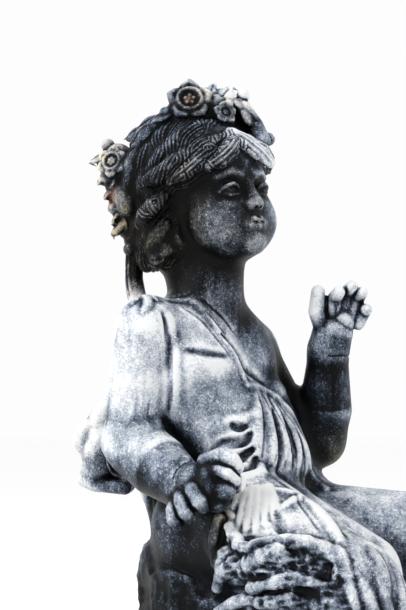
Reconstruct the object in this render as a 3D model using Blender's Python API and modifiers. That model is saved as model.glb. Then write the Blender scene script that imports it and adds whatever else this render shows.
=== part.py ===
# Lead statue of a seated girl: one hollow casting with its rock, on a separate low base.
# Metres, +Z up. She faces -Y, her left hand is at +X, and the origin is the middle of the base's underside.
import math
from itertools import product

import bmesh
import bpy
import numpy as np
from mathutils import Matrix, Vector

# Driving sizes, in metres
FIGURE_HEIGHT = 0.800      # underside of the rock to just over the wreath
BASE_LENGTH = 0.440        # front to back
BASE_WIDTH = 0.360
BASE_HEIGHT = 0.035
BASE_CORNER = 0.030        # radius of the base's upright corners
BASE_BEVEL = 0.004         # bevel round the base's top edge
BED_GAP = 0.0003           # joint between the casting and its base

# The figure is laid out in shares of its own height; one share is 1 mm at full size.
SHARE = FIGURE_HEIGHT / 800

ROUGH_VOXEL = 5.0          # first joining of the forms, in shares
FINE_VOXEL = 3.6           # second joining, in shares
FACES_KEPT = 9400          # triangles left in the casting
MARGIN = 10.0              # how far past its own blend a form is still felt, in shares
CELL = 16.0                # size of the cells used to find which points feel a form

LEAD_COLOUR = (0.20, 0.215, 0.24, 1.0)
BASE_COLOUR = (0.16, 0.17, 0.185, 1.0)


def frame(origin, turn=0.0, nod=0.0, lean=0.0):
    """A body frame: x to her left, y to her back, z up; degrees to her left, downwards, and over to her left."""
    return (
        Matrix.Translation(origin)
        @ Matrix.Rotation(math.radians(turn), 4, "Z")
        @ Matrix.Rotation(math.radians(nod), 4, "X")
        @ Matrix.Rotation(math.radians(lean), 4, "Y")
    )


WORLD = Matrix.Identity(4)
CHEST = frame((-19, 117, 489), turn=-17, lean=10)
HEAD = frame((-10, 105, 653), turn=-14, nod=-8, lean=-6)

# Joints of the pose, on the figure's right (r) and left (l)
POSE = {
    "neck": (-12, 109, 538),
    "shoulder_r": (-93, 137, 498),
    "elbow_r": (-93, 157, 366),
    "wrist_r": (-128, 57, 320),
    "shoulder_l": (60, 94, 478),
    "elbow_l": (104, 22, 368),
    "wrist_l": (84, -3, 476),
    "hip_r": (-50, 86, 272),
    "knee_r": (-74, -109, 225),
    "ankle_r": (-68, -126, 58),
    "hip_l": (53, 83, 264),
    "knee_l": (109, -132, 261),
    "ankle_l": (98, -98, 98),
}


# Forms of clay


def egg(centre, radii, within=WORLD, turned=(0, 0, 0), blend=10, cut=False, less=()):
    """An ellipsoid in a body frame."""
    turn = within.to_3x3() @ Matrix.Rotation(math.radians(turned[2]), 3, "Z")
    turn = turn @ Matrix.Rotation(math.radians(turned[1]), 3, "Y") @ Matrix.Rotation(math.radians(turned[0]), 3, "X")
    radii = (radii,) * 3 if isinstance(radii, (int, float)) else radii
    at = within @ Vector(centre)
    return {"shape": "egg", "at": at, "radii": radii, "turn": turn, "blend": blend, "cut": cut, "less": less}


def limb(points, radii, within=WORLD, blend=10, cut=False, thin=None, less=()):
    """A roll through some points with a radius at each; thin is a direction and a share to flatten it by."""
    path = [within @ Vector(p) for p in points]
    if isinstance(radii, (int, float)):
        radii = [radii] * len(path)
    if thin:
        thin = ((within.to_3x3() @ Vector(thin[0])).normalized(), thin[1])
    return {"shape": "limb", "path": path, "radii": radii, "blend": blend, "cut": cut, "thin": thin, "less": less}


def egg_distance(points, form):
    local = (points - np.array(form["at"])) @ np.array(form["turn"]) / np.array(form["radii"])
    near = np.linalg.norm(local, axis=1)
    steep = np.linalg.norm(local / np.array(form["radii"]), axis=1)
    return near * (near - 1.0) / np.maximum(steep, 1e-9)


def limb_distance(points, form):
    found = np.full(len(points), 1e9)
    path = [np.array(p) for p in form["path"]]
    for start, end, r0, r1 in zip(path, path[1:], form["radii"], form["radii"][1:]):
        along = end - start
        share = np.clip((points - start) @ along / (along @ along), 0, 1)
        off = points - start - share[:, None] * along
        if form["thin"]:
            way = np.array(form["thin"][0])
            off = off + (off @ way)[:, None] * way * (1.0 / form["thin"][1] - 1.0)
        found = np.minimum(found, np.linalg.norm(off, axis=1) - (r0 + (r1 - r0) * share))
    return found


DISTANCE = {"egg": egg_distance, "limb": limb_distance}


def softly(first, second, k):
    """The smaller of two distances, with the corner between them filled over k."""
    mix = np.clip(0.5 + 0.5 * (first - second) / k, 0, 1)
    return first + (second - first) * mix - k * mix * (1 - mix)


def form_distance(points, form):
    own = DISTANCE[form["shape"]](points, form)
    for other in form["less"]:
        own = -softly(-own, form_distance(points, other), other["blend"])
    return own


def felt_by(points, forms):
    """For each form, which points are near enough to feel it, found cell by cell."""
    cells = np.floor(points / CELL).astype(int) + 500
    keys, owner = np.unique(cells @ np.array([1, 1000, 1000000]), return_inverse=True)
    order = np.argsort(owner, kind="stable")
    starts = np.searchsorted(owner[order], np.arange(len(keys) + 1))
    middles = (np.stack([keys % 1000, keys // 1000 % 1000, keys // 1000000], axis=1) - 499.5) * CELL
    near = []
    for form in forms:
        close = np.nonzero(form_distance(middles, form) < form["blend"] + MARGIN + CELL * 0.87)[0]
        near.append(np.concatenate([order[starts[i]:starts[i + 1]] for i in close]) if len(close) else close)
    return near


def clay_depth(points, forms, near):
    """Signed distance of points to the smoothly joined forms."""
    depth = np.full(len(points), 1e3)
    for form, spots in zip(forms, near):
        if not len(spots):
            continue
        own = form_distance(points[spots], form)
        if form["cut"]:
            depth[spots] = -softly(-depth[spots], own, form["blend"])
        else:
            depth[spots] = softly(depth[spots], own, form["blend"])
    return depth


def melt(points, forms, steps=4, level=0.0):
    """Moves points onto the joined surface, or onto the one that lies at some level outside it."""
    near = felt_by(points, forms)
    nudge = 0.25
    for _ in range(steps):
        depth = clay_depth(points, forms, near)
        slope = np.stack([(clay_depth(points + nudge * a, forms, near) - depth) / nudge for a in np.eye(3)], axis=1)
        move = -((depth - level) / np.maximum((slope**2).sum(1), 0.05))[:, None] * slope
        length = np.linalg.norm(move, axis=1, keepdims=True)
        points = points + move * np.minimum(1, 6.0 / np.maximum(length, 1e-9))
    return points


def smooth_path(points, pieces=4):
    """Points along a soft curve through the given ones."""
    ends = [2 * points[0] - points[1]] + list(points) + [2 * points[-1] - points[-2]]
    found = []
    for a, b, c, d in zip(ends, ends[1:], ends[2:], ends[3:]):
        for i in range(pieces):
            t = i / pieces
            rise = (2 * a - 5 * b + 4 * c - d) * t**2 + (3 * b - a - 3 * c + d) * t**3
            found.append(0.5 * (2 * b + (c - a) * t + rise))
    return np.array(found + [points[-1]])


def fold(points, width, over, sunk=0.35, within=WORLD, blend=3, taper=0.35):
    """A roll of cloth or hair that lies on what is under it, thickest in the middle."""
    path = smooth_path([np.array(within @ Vector(p)) for p in points])
    radii = [width * (taper + (1 - taper) * math.sin(math.pi * i / (len(path) - 1)) ** 0.6) for i in range(len(path))]
    path = melt(path, over, steps=6, level=-sunk * width)
    return limb([tuple(p) for p in path], radii, blend=blend)


def hollowed(points, width, over, deep):
    """A groove cut into the surface it runs along, deepest in the middle."""
    path = smooth_path(list(melt(np.array(points, float), over, steps=6, level=width - deep)), 6)
    radii = [width * (0.3 + 0.7 * math.sin(math.pi * i / (len(path) - 1)) ** 0.6) for i in range(len(path))]
    return limb([tuple(p) for p in path], radii, blend=2, cut=True)


def between(a, b, share):
    return tuple(x + (y - x) * share for x, y in zip(a, b))


# The body


def torso():
    return [
        egg((0, -2, -46), (77, 58, 76), CHEST, blend=20),
        egg((0, 0, -6), (62, 42, 32), CHEST, blend=20),
        limb([POSE["shoulder_r"], (-14, 114, 500), (24, 100, 496), POSE["shoulder_l"]], [33, 37, 38, 34], blend=22),
        limb([POSE["neck"], (-8, 110, 606)], [45, 42], blend=20),
        egg((0, -30, -40), (56, 32, 30), CHEST, blend=26),
        egg((28, 84, 450), (40, 42, 56), blend=20),
        egg((0, 86, 385), (74, 64, 56), blend=26),
        egg((6, 70, 345), (80, 76, 58), blend=26),
        egg((0, 88, 293), (86, 72, 58), blend=26),
        egg((-42, 94, 270), (52, 58, 46), blend=20),
        egg((44, 100, 270), (52, 58, 46), blend=20),
    ]


def legs():
    toes = [
        limb([(x - 9 + 7 * i, y - 3 * (i == 1), z), (x - 10 + 8 * i, y - 13 + 3 * i, z - 2)], 8 - i, blend=2)
        for x, y, z in ((-78, -200, 17), (110, -176, 57))
        for i in range(4)
    ]
    return toes + [
        limb([POSE["hip_r"], POSE["knee_r"]], [56, 46], blend=16),
        limb([POSE["knee_r"], (-72, -112, 150), POSE["ankle_r"]], [44, 40, 25], blend=12),
        limb([POSE["ankle_r"], (-68, -120, 32), (-74, -172, 26), (-77, -198, 22)], [24, 24, 20, 13], blend=8),
        limb([POSE["hip_l"], POSE["knee_l"]], [60, 46], blend=16),
        limb([POSE["knee_l"], (106, -120, 185), POSE["ankle_l"]], [43, 40, 25], blend=12),
        limb([POSE["ankle_l"], (99, -96, 76), (106, -148, 66), (109, -174, 62)], [24, 24, 20, 13], blend=8),
    ]


def arms():
    return [
        limb([POSE["shoulder_r"], (-93, 147, 432), POSE["elbow_r"]], [36, 35, 33], blend=6),
        limb([POSE["elbow_r"], (-109, 110, 343), POSE["wrist_r"]], [34, 35, 25], blend=12),
        limb([POSE["shoulder_l"], (78, 64, 420), POSE["elbow_l"]], [32, 27, 30], blend=10),
        limb([POSE["elbow_l"], (100, 10, 405), POSE["wrist_l"]], [32, 32, 23], blend=12),
    ]


FINGERS = {
    "right": [
        ([(-135, 30, 350), (-134, 13, 356), (-130, 1, 352), (-123, -1, 345)], 9.5),
        ([(-139, 24, 341), (-142, 10, 341), (-140, 0, 338), (-132, -5, 331)], 7),
        ([(-144, 44, 328), (-159, 30, 321), (-160, 22, 311), (-149, 24, 304)], 8.5),
        ([(-146, 54, 318), (-162, 43, 309), (-162, 38, 299), (-151, 40, 292)], 8),
        ([(-144, 62, 309), (-159, 56, 300), (-160, 54, 290), (-151, 54, 284)], 7.5),
    ],
    "left": [
        ([(72, -4, 492), (60, 0, 520), (55, -5, 543)], 9.5),
        ([(76, -14, 515), (69, -20, 536), (60, -30, 542)], 8.5),
        ([(83, -23, 518), (81, -30, 543), (70, -42, 549)], 8.5),
        ([(89, -31, 514), (89, -41, 537), (79, -51, 542)], 8),
        ([(94, -38, 506), (93, -48, 522), (83, -55, 522)], 7.5),
    ],
}


def hands():
    """The right hand closes round a bunch; the left is held up with its fingers bent."""
    forms = [
        limb([POSE["wrist_r"], (-137, 40, 326), (-137, 24, 333)], [25, 22, 16], blend=10),
        egg((-143, 22, 323), 14, blend=5),
        egg((-136, 9, 321), (14, 15, 12), blend=4),
        egg((-121, 0, 327), 10, blend=4),
        egg((-133, 18, 308), (13, 15, 11), blend=5),
        limb([POSE["wrist_l"], (83, -12, 496), (84, -22, 508)], [23, 22, 15], blend=10),
        egg((72, -4, 494), (13, 14, 20), blend=8),
    ]
    for path, radius in FINGERS["right"] + FINGERS["left"]:
        forms.append(limb(path, [radius] * (len(path) - 1) + [radius * 0.85], blend=2.2))
    return forms


# The head: a calm child's face on ordinary proportions, under parted waving hair


def head():
    forms = [
        egg((0, 18, 28), (68, 83, 70), HEAD, blend=14),
        egg((0, -16, 36), (54, 52, 46), HEAD, blend=18),
        egg((0, -20, -20), (55, 50, 58), HEAD, blend=18),
        limb([(0, 34, -40), (-4, 30, -70)], [43, 43], HEAD, blend=20),
        egg((0, -42, -58), (32, 26, 20), HEAD, blend=16),
        egg((0, -58, -66), (13, 10, 11), HEAD, blend=12),
        limb([(0, -62, 0), (0, -73, -20)], [6, 7.5], HEAD, blend=10),
        egg((0, -64, -45), (16, 8, 9), HEAD, blend=8),
    ]
    for side in (-1, 1):
        forms.append(egg((side * 30, -36, -36), (27, 25, 27), HEAD, blend=18))
        forms.append(egg((side * 26, -69, -2), (15, 9, 8), HEAD, blend=12, cut=True))
        forms.append(egg((side * 7, -70, -23), (5, 6, 5), HEAD, blend=5))
    return forms


def hair(skull):
    """A cap of hair, open over the face, with waving locks on it and one that hangs to the shoulder."""
    opening = egg((0, -60, -36), (112, 68, 62), HEAD, blend=4)
    forms = [
        egg((0, 24, 34), (77, 90, 74), HEAD, blend=2, less=(opening,)),
        egg((0, 78, -18), (56, 36, 44), HEAD, blend=16),
    ]
    forms += [egg((s * 50, 32, -34), (30, 42, 42), HEAD, blend=16, less=(opening,)) for s in (-1, 1)]
    under = skull + forms
    sweeps = [
        ([(6, -68, 38), (30, -66, 32), (52, -48, 26), (68, -26, 14), (76, -2, 4)], 8),
        ([(6, -56, 58), (34, -52, 54), (58, -32, 42), (74, -6, 24), (78, 22, 12)], 8),
        ([(5, -38, 78), (40, -28, 76), (66, -4, 54), (78, 22, 34), (70, 56, 14)], 7),
        ([(4, -18, 94), (42, -6, 90), (68, 22, 62), (72, 56, 36), (56, 84, 14)], 8),
        ([(70, -8, 16), (78, 10, -2), (74, 30, -26), (58, 54, -50)], 8),
        ([(72, 0, -14), (74, 18, -40), (58, 44, -64)], 8),
        ([(10, 30, 106), (34, 70, 84), (34, 104, 44), (26, 112, 4), (14, 104, -44)], 8),
    ]
    forms += [
        fold([(s * x, y, z) for x, y, z in path], width, under, sunk=0.5, within=HEAD, blend=5)
        for path, width in sweeps
        for s in (-1, 1)
    ]
    curls = [
        ([(-8, -62, 62), (2, -72, 48), (14, -78, 36), (28, -80, 24)], [8, 9, 8, 6]),
        ([(14, -64, 52), (32, -66, 42), (48, -58, 34), (58, -46, 26)], [8, 9, 8, 5]),
        ([(-10, -62, 54), (-24, -68, 42), (-36, -64, 31), (-48, -54, 26)], [8, 9, 8, 5]),
        ([(-40, -52, 44), (-54, -44, 32), (-66, -30, 22), (-72, -16, 18)], [8, 9, 8, 5]),
        ([(-60, -30, 44), (-72, -16, 34), (-78, 0, 28), (-80, 16, 26)], [7, 9, 9, 7]),
        ([(-74, 0, 4), (-82, 10, -4), (-84, 24, -12), (-80, 40, -18)], [6, 9, 9, 6]),
        ([(-76, 4, -30), (-78, 18, -40), (-74, 34, -50)], [7, 9, 8]),
        ([(-70, 14, -54), (-74, 28, -62), (-68, 42, -68)], [8, 9, 7]),
        ([(-66, 48, -44), (-70, 52, -56), (-68, 54, -66)], [12, 11, 8]),
    ]
    forms += [limb(path, radii, HEAD, blend=6) for path, radii in curls]
    forms.append(limb([(-38, 176, 622), (-47, 182, 601), (-49, 186, 580), (-52, 184, 559), (-62, 172, 532)],
                      [18, 13, 10, 10, 11], blend=6))
    return forms


def leaf(base, tip, width, up):
    middle = between(base, tip, 0.45)
    away = Vector(up).normalized()
    rib = [tuple(Vector(p) + away * width * h) for p, h in ((base, 0.24), (middle, 0.37), (tip, 0.16))]
    return [
        limb([base, middle, tip], [width * 0.6, width, width * 0.35], HEAD, blend=2, thin=(up, 0.36)),
        limb(rib, 1.3, HEAD, blend=2, cut=True),
    ]


def rosette(centre, facing, radius, petals=6):
    """An open flower: cupped petals round a hollow with small seeds in it."""
    middle = Vector(centre)
    out = Vector(facing).normalized()
    side = out.orthogonal().normalized()
    rim = []
    for i in range(petals * 4 + 1):
        lobe = math.cos(math.tau * i / 4)
        way = Matrix.Rotation(math.tau * i / (petals * 4), 3, out) @ side
        rim.append(tuple(middle + way * radius * (0.72 + 0.11 * lobe) + out * radius * (0.18 + 0.07 * lobe)))
    forms = [
        limb([tuple(middle - out * radius * 0.4), centre], [radius * 0.4, radius * 0.68], HEAD, blend=4),
        egg(tuple(middle + out * radius * 0.75), radius * 0.56, HEAD, blend=3, cut=True),
        limb(rim, radius * 0.17, HEAD, blend=3),
    ]
    for i in range(petals + 1):
        way = Matrix.Rotation(math.tau * i / petals, 3, out) @ side * radius * (0.17 if i else 0)
        forms.append(egg(tuple(middle + way + out * radius * 0.24), radius * 0.12, HEAD, blend=1.5))
    return forms


GARLAND = {
    "band": [(8, -34, 99), (-39, 5, 102), (-66, 24, 82), (-76, 44, 52), (-72, 62, 20), (-58, 80, -16)],
    "far_band": [(8, -34, 99), (48, -4, 94), (70, 28, 68), (76, 50, 36), (66, 70, 2), (52, 84, -24)],
    "flowers": [
        ((-21, -16, 114), (-0.62, -0.72, 0.3), 28, 5), ((2, -46, 92), (-0.3, -1, 0.3), 15, 5),
        ((-84, 64, 62), (-1, -0.5, 0.2), 20, 6), ((72, 40, 62), (1, 0.1, 0.5), 18, 6),
        ((20, 116, 34), (0.2, 1, 0.4), 18, 6),
    ],
    "buds": [
        (40, -46, 117, 8), (58, -36, 94, 8), (57, -58, 60, 8), (-74, 80, 88, 8), (-58, 94, 84, 7), (60, 6, 96, 9),
        (46, 96, 46, 9), (-84, 78, 10, 7), (-76, 70, -42, 8), (-40, 106, 40, 9), (10, -48, 104, 6), (-46, 2, 106, 7),
    ],
    "leaves": [
        ((-4, -24, 108), (8, -30, 132), 14, (-0.5, -0.8, 0.1)), ((8, -34, 108), (24, -42, 126), 14, (-0.6, -0.7, 0.4)),
        ((20, -44, 104), (40, -50, 108), 12, (0.1, -0.8, 0.6)), ((30, -48, 100), (40, -58, 72), 14, (0.3, -0.9, 0.3)),
        ((50, -36, 92), (66, -40, 76), 13, (0.7, -0.7, 0.4)), ((-46, 14, 104), (-62, 34, 96), 12, (-0.7, -0.3, 0.7)),
        ((-60, 34, 94), (-66, 56, 88), 11, (-0.8, 0, 0.6)),
        ((56, -36, 86), (62, -42, 66), 12, (0.8, -0.6, 0.1)), ((-36, 0, 106), (-60, 14, 98), 13, (-0.5, -0.2, 0.8)),
        ((-58, 14, 96), (-80, 34, 74), 12, (-0.8, -0.2, 0.5)), ((-62, 70, 40), (-88, 84, 26), 15, (-0.8, 0.3, 0.2)),
        ((-66, 76, 78), (-90, 96, 72), 15, (-0.8, 0.1, 0.6)),
        ((-68, 74, 46), (-94, 84, 44), 15, (-0.9, 0.3, 0.3)),
        ((-66, 72, -6), (-90, 80, -22), 14, (-0.9, 0.3, -0.1)),
        ((-60, 84, 60), (-62, 112, 62), 15, (-0.6, 0.3, 0.7)), ((-66, 74, 10), (-88, 78, -6), 13, (-0.8, 0.4, 0.1)),
        ((-30, 96, 50), (-14, 122, 56), 14, (0, 0.6, 0.7)), ((0, 108, 20), (-30, 120, 8), 14, (0, 1, 0.1)),
        ((50, 80, 40), (68, 88, 56), 14, (0.7, 0.6, 0.2)), ((66, 56, 30), (86, 54, 12), 13, (1, 0.2, 0.1)),
        ((54, -4, 92), (78, 10, 82), 13, (0.5, -0.4, 0.8)),
    ],
}


def wreath():
    """Flowers, leaves and buds on a band that runs over the crown and down behind the ears."""
    forms = [limb(GARLAND[key], 10, HEAD, blend=6) for key in ("band", "far_band")]
    forms += [
        limb([(-26, -2, 108), (8, -26, 106), (38, -30, 98)], [15, 17, 14], HEAD, blend=8),
        limb([(34, -44, 98), (44, -50, 78), (40, -62, 56)], [13, 12, 11], HEAD, blend=6),
        egg((-68, 74, 58), (20, 26, 30), HEAD, blend=8),
        egg((-70, 72, 16), (18, 20, 30), HEAD, blend=8),
        egg((-64, 66, -28), (16, 18, 26), HEAD, blend=8),
        egg((0, 104, 30), (40, 16, 22), HEAD, blend=10),
    ]
    for flower in GARLAND["flowers"]:
        forms += rosette(*flower)
    forms += [egg((x, y, z), r, HEAD, blend=2) for x, y, z, r in GARLAND["buds"]]
    for one in GARLAND["leaves"]:
        forms += leaf(*one)
    return forms


# The clothes: a tunic pinned on the right shoulder, cloth over the right thigh and a bunch of it behind


def garment(body):
    masses = [
        limb([(-53, 36, 284), (-74, -108, 222)], [62, 50], blend=5),
        limb([(5, 6, 282), (16, -88, 234)], [36, 32], blend=22),
        limb([(34, 44, 420), (60, 42, 362), (72, 26, 316)], [14, 22, 24], blend=22),
        limb([(-74, -116, 214), (-70, -134, 112)], [48, 42], blend=12),
        limb([(-108, 14, 262), (-112, -40, 246), (-108, -92, 232)], [30, 34, 34], blend=10, thin=((1, 0, 0), 0.4)),
        limb([(-10, -112, 216), (-16, -128, 120)], [36, 34], blend=18, thin=((0, 1, 0), 0.6)),
        limb([(20, 160, 470), (-8, 170, 392), (-20, 168, 312), (-22, 150, 262)], [20, 28, 28, 22], blend=22,
             thin=((0.3, 1, 0), 0.65)),
    ]
    under = body + masses
    folds = [   # hem from the shoulder to the gather, its end down the left side, and the armhole's edge
        fold([(-90, 128, 532), (-64, 99, 531), (-48, 74, 504), (-33, 52, 466), (-25, 39, 436)], 4, under,
             sunk=0.5, taper=0.8),
        fold([(-25, 39, 436), (-8, 38, 432), (6, 34, 426), (15, 30, 420), (24, 24, 412), (38, 18, 400), (46, 10, 378),
              (46, 0, 352), (54, -10, 330), (56, -16, 314)], 5, under, sunk=0.5, taper=0.8),
        fold([(-97, 96, 516), (-98, 94, 483), (-98, 94, 458), (-95, 95, 432), (-90, 100, 410)], 4, under,
             sunk=0.6, blend=5),
    ]
    swirls = [
        ([(-62, 48, 394), (-52, 36, 394), (-42, 30, 398), (-32, 28, 404)], 6),
        ([(-76, 54, 370), (-64, 38, 376), (-52, 26, 380), (-40, 22, 390)], 7.5),
        ([(-80, 46, 352), (-66, 31, 360), (-54, 20, 368), (-44, 18, 380)], 6.5),
        ([(-78, 30, 342), (-64, 19, 350), (-52, 13, 361)], 6),
        ([(-80, 12, 333), (-66, 4, 340), (-52, 4, 350)], 6),
        ([(-8, 37, 430), (-24, 28, 411), (-38, 22, 389), (-46, 16, 367), (-54, 8, 350), (-64, -2, 338)], 8),
        ([(2, 36, 427), (-14, 21, 404), (-24, 10, 380), (-32, 3, 358), (-42, -4, 338)], 7),
        ([(8, 30, 420), (0, 15, 400), (-11, 2, 373), (-17, -4, 340)], 7),
        ([(15, 26, 416), (20, 12, 393), (10, -2, 363), (4, -8, 335)], 7),
        ([(26, 20, 408), (32, 8, 382), (26, -2, 352), (24, -10, 322)], 7),
    ]
    folds += [fold(path, width, under, sunk=0.5, blend=6) for path, width in swirls]
    flutes = [
        [(-102, 10, 318), (-119, 8, 298), (-127, 9, 270)], [(-98, 3, 322), (-114, 0, 298), (-124, -1, 268)],
        [(-93, -1, 323), (-108, -8, 298), (-118, -10, 268)], [(-89, -6, 324), (-103, -15, 298), (-112, -20, 270)],
        [(-83, -12, 323), (-96, -21, 300), (-106, -30, 274)],
    ]
    folds += [fold(path, 4.6, under, sunk=0.2, blend=3, taper=0.7) for path in flutes]
    folds += [   # a turned layer on the lap, and the long seam over the knee
        fold([(-76, -14, 322), (-92, -28, 306), (-100, -38, 284)], 6, under, taper=0.6),
        fold([(-80, -20, 320), (-72, -32, 322), (-64, -46, 318), (-78, -44, 308), (-94, -38, 300)], 6, under),
        fold([(-58, -50, 318), (-70, -72, 306), (-86, -96, 288), (-100, -114, 270)], 9, under),
        fold([(-106, -112, 282), (-118, -124, 254), (-122, -134, 226), (-116, -140, 196)], 7, under),
        fold([(-84, -140, 272), (-92, -154, 246), (-94, -160, 214)], 8, under),
    ]
    for i in range(5):
        x = -108 + 19 * i
        folds.append(fold([(x, -132, 240), (x - 2, -156, 200), (x + 3, -160, 150), (x, -152, 112)], 9, under))
    for i in range(6):
        top = between((-84, 160, 508), (30, 136, 470), i / 5)
        waist = between((-60, 180, 400), (66, 130, 370), (i / 5) ** 1.2)
        folds.append(fold([top, between(top, waist, 0.6), waist, between((-60, 150, 280), (70, 130, 280), i / 5)], 10,
                          under, sunk=0.3))
    deeps = [
        ([(-106, 106, 516), (-103, 100, 483), (-103, 100, 460), (-101, 101, 434), (-93, 108, 400)], 3.6, 4),
        ([(-42, 66, 492), (-30, 56, 474), (-22, 48, 454), (-8, 46, 443), (6, 42, 434)], 3.2, 4),
        ([(-89, 89, 470), (-76, 76, 469), (-64, 65, 467), (-46, 57, 465)], 7, 2.5),
        ([(-61, 43, 389), (-58, 36, 385), (-52, 29, 387)], 3.5, 5),
        ([(-80, 60, 359), (-70, 50, 367), (-64, 37, 368), (-59, 28, 370), (-52, 24, 379)], 5, 7),
        ([(-78, 38, 349), (-64, 26, 354), (-55, 18, 362)], 4, 5),
        ([(-80, 22, 339), (-67, 14, 345), (-56, 12, 353)], 3.5, 4),
        ([(-6, 20, 406), (-16, 8, 384), (-24, 0, 360), (-32, -6, 338)], 3.5, 3),
        ([(8, 14, 392), (0, 2, 366), (-7, -7, 338)], 3, 3),
        ([(24, 6, 380), (15, -5, 352), (12, -12, 326)], 3.5, 3),
        ([(-104, -38, 300), (-118, -50, 288), (-121, -62, 280), (-124, -72, 266)], 8, 7),
    ]
    folds += [hollowed(path, width, under, deep) for path, width, deep in deeps]
    bunched = [
        limb([(-116, 6, 242), (-112, -50, 236), (-100, -100, 232)], [22, 27, 24], blend=8),
        limb([(-124, 8, 282), (-131, -10, 266), (-132, -28, 254)], [5, 7, 6], blend=6),
        limb([(-136, -26, 246), (-139, -42, 256), (-133, -56, 259), (-125, -66, 251)], [9, 11, 10, 8], blend=6),
        limb([(-136, -12, 264), (-138, -28, 264), (-131, -44, 270)], [4, 6, 4], blend=5),
        limb([(-128, -42, 268), (-125, -62, 272), (-116, -82, 270), (-107, -98, 262), (-104, -112, 248)],
             [5, 7, 8, 7, 5], blend=6),
        limb([(-137, -28, 223), (-138, -56, 232), (-130, -82, 237), (-120, -102, 232), (-108, -116, 227)],
             [6, 8, 7, 8, 6], blend=5),
        limb([(-140, -36, 238), (-136, -52, 245), (-127, -72, 245)], [3, 5, 3], blend=4),
        limb([(-128, -80, 258), (-119, -94, 253), (-113, -108, 240)], [4, 5, 4], blend=4),
        limb([(-134, -36, 207), (-130, -66, 213), (-120, -94, 208), (-106, -114, 208)], [6, 8, 9, 7], blend=5),
        limb([(-128, 20, 218), (-137, 8, 236), (-137, -6, 247), (-136, -18, 238)], [6, 7, 7, 6], blend=5),
        limb([(-126, 20, 192), (-132, -4, 205), (-127, -26, 211), (-121, -44, 200)], [6, 7, 8, 5], blend=5),
        limb([(-119, 24, 290), (-121, 28, 268), (-118, 28, 242)], [5, 7, 6], blend=5),
        limb([(-132, -84, 252), (-122, -104, 246)], [13, 11], blend=5, cut=True),
        limb([(-149, -32, 235), (-146, -50, 240), (-138, -66, 246)], [4, 6, 4], blend=3, cut=True),
        egg((-146, -8, 256), 8, blend=4, cut=True),
        egg((-142, 2, 216), 8, blend=4, cut=True),
    ]
    clasp = [
        fold([(-112, 134, 540), (-110, 126, 532), (-113, 122, 523), (-118, 124, 512)], 6, body, sunk=0.2),
        fold([(-112, 133, 540), (-106, 124, 541), (-101, 114, 534)], 4.5, body, sunk=0.2),
        fold([(-112, 134, 538), (-116, 139, 531), (-117, 140, 522)], 4, body, sunk=0.2),
    ]
    mantle = [
        limb([(84, 50, 306), (70, 128, 322), (20, 168, 340), (-30, 188, 368), (-46, 204, 400)], [20, 20, 18, 17, 12],
             blend=8),
        limb([(84, 56, 286), (66, 136, 296), (16, 170, 308), (-30, 186, 336)], [16, 16, 15, 14], blend=6),
        limb([(-50, 204, 424), (-60, 220, 404), (-66, 228, 384), (-68, 228, 360)], [10, 13, 16, 18], blend=8),
        limb([(-77, 236, 382), (-82, 242, 368), (-78, 238, 356)], [9, 10, 7], blend=4),
        limb([(-62, 216, 366), (-66, 226, 330)], [22, 22], blend=8),
        egg((-96, 186, 346), (22, 30, 20), blend=8, cut=True),
        limb([(-80, 238, 322), (-78, 214, 316), (-76, 180, 314)], [8, 8, 8], blend=4),
        limb([(-66, 230, 324), (-50, 200, 318)], [14, 14], blend=8),
    ]
    return masses + folds + bunched + clasp + mantle


def rock():
    seat = egg((0, 100, 846), (600, 600, 600), blend=10)
    return [
        limb([(-6, 98, 50), (-6, 97, 200)], [102, 92], blend=12, less=(seat,)),
        limb([(30, 20, 30), (26, 24, 170)], [96, 72], blend=16),
        limb([(66, 74, 60), (56, 78, 180)], [66, 56], blend=12),
        limb([(-82, 100, 238), (-56, 152, 240), (0, 178, 238), (54, 156, 238)], [10, 12, 12, 10], blend=5),
        egg((0, 60, 0), (148, 138, 40), blend=18),
        egg((0, -80, 0), (132, 124, 24), blend=14),
        egg((106, -136, 12), (44, 56, 40), blend=10),
        egg((-96, 60, 40), (40, 50, 44), blend=8),
    ]


# From forms to one closed skin


def rough_shapes(form):
    """The form as plain spheres and cones: for each its own small bmesh."""
    shapes = []
    if form["shape"] == "egg":
        place = Matrix.Translation(form["at"]) @ form["turn"].to_4x4() @ Matrix.Diagonal((*form["radii"], 1))
        shapes.append(bmesh.new())
        bmesh.ops.create_icosphere(shapes[-1], subdivisions=3, radius=1, matrix=place)
        return shapes
    squash = Matrix.Scale(form["thin"][1], 4, form["thin"][0]) if form["thin"] else Matrix.Identity(4)
    for spot, radius in zip(form["path"], form["radii"]):
        shapes.append(bmesh.new())
        place = Matrix.Translation(spot) @ squash
        bmesh.ops.create_icosphere(shapes[-1], subdivisions=2, radius=radius, matrix=place)
    for start, end, r0, r1 in zip(form["path"], form["path"][1:], form["radii"], form["radii"][1:]):
        way = end - start
        place = Matrix.Translation((start + end) / 2) @ squash @ way.to_track_quat("Z", "Y").to_matrix().to_4x4()
        shapes.append(bmesh.new())
        bmesh.ops.create_cone(
            shapes[-1], cap_ends=True, segments=16, radius1=r0, radius2=r1, depth=way.length, matrix=place
        )
    return shapes


def rough_mesh(forms):
    """All the added forms in one mesh, still running through each other."""
    corners = []
    faces = []
    for form in forms:
        for shape in [] if form["cut"] else rough_shapes(form):
            first = len(corners)
            corners += [tuple(v.co) for v in shape.verts]
            faces += [[first + v.index for v in f.verts] for f in shape.faces]
            shape.free()
    mesh = bpy.data.meshes.new("clay")
    mesh.from_pydata(corners, [], faces)
    return mesh


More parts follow.
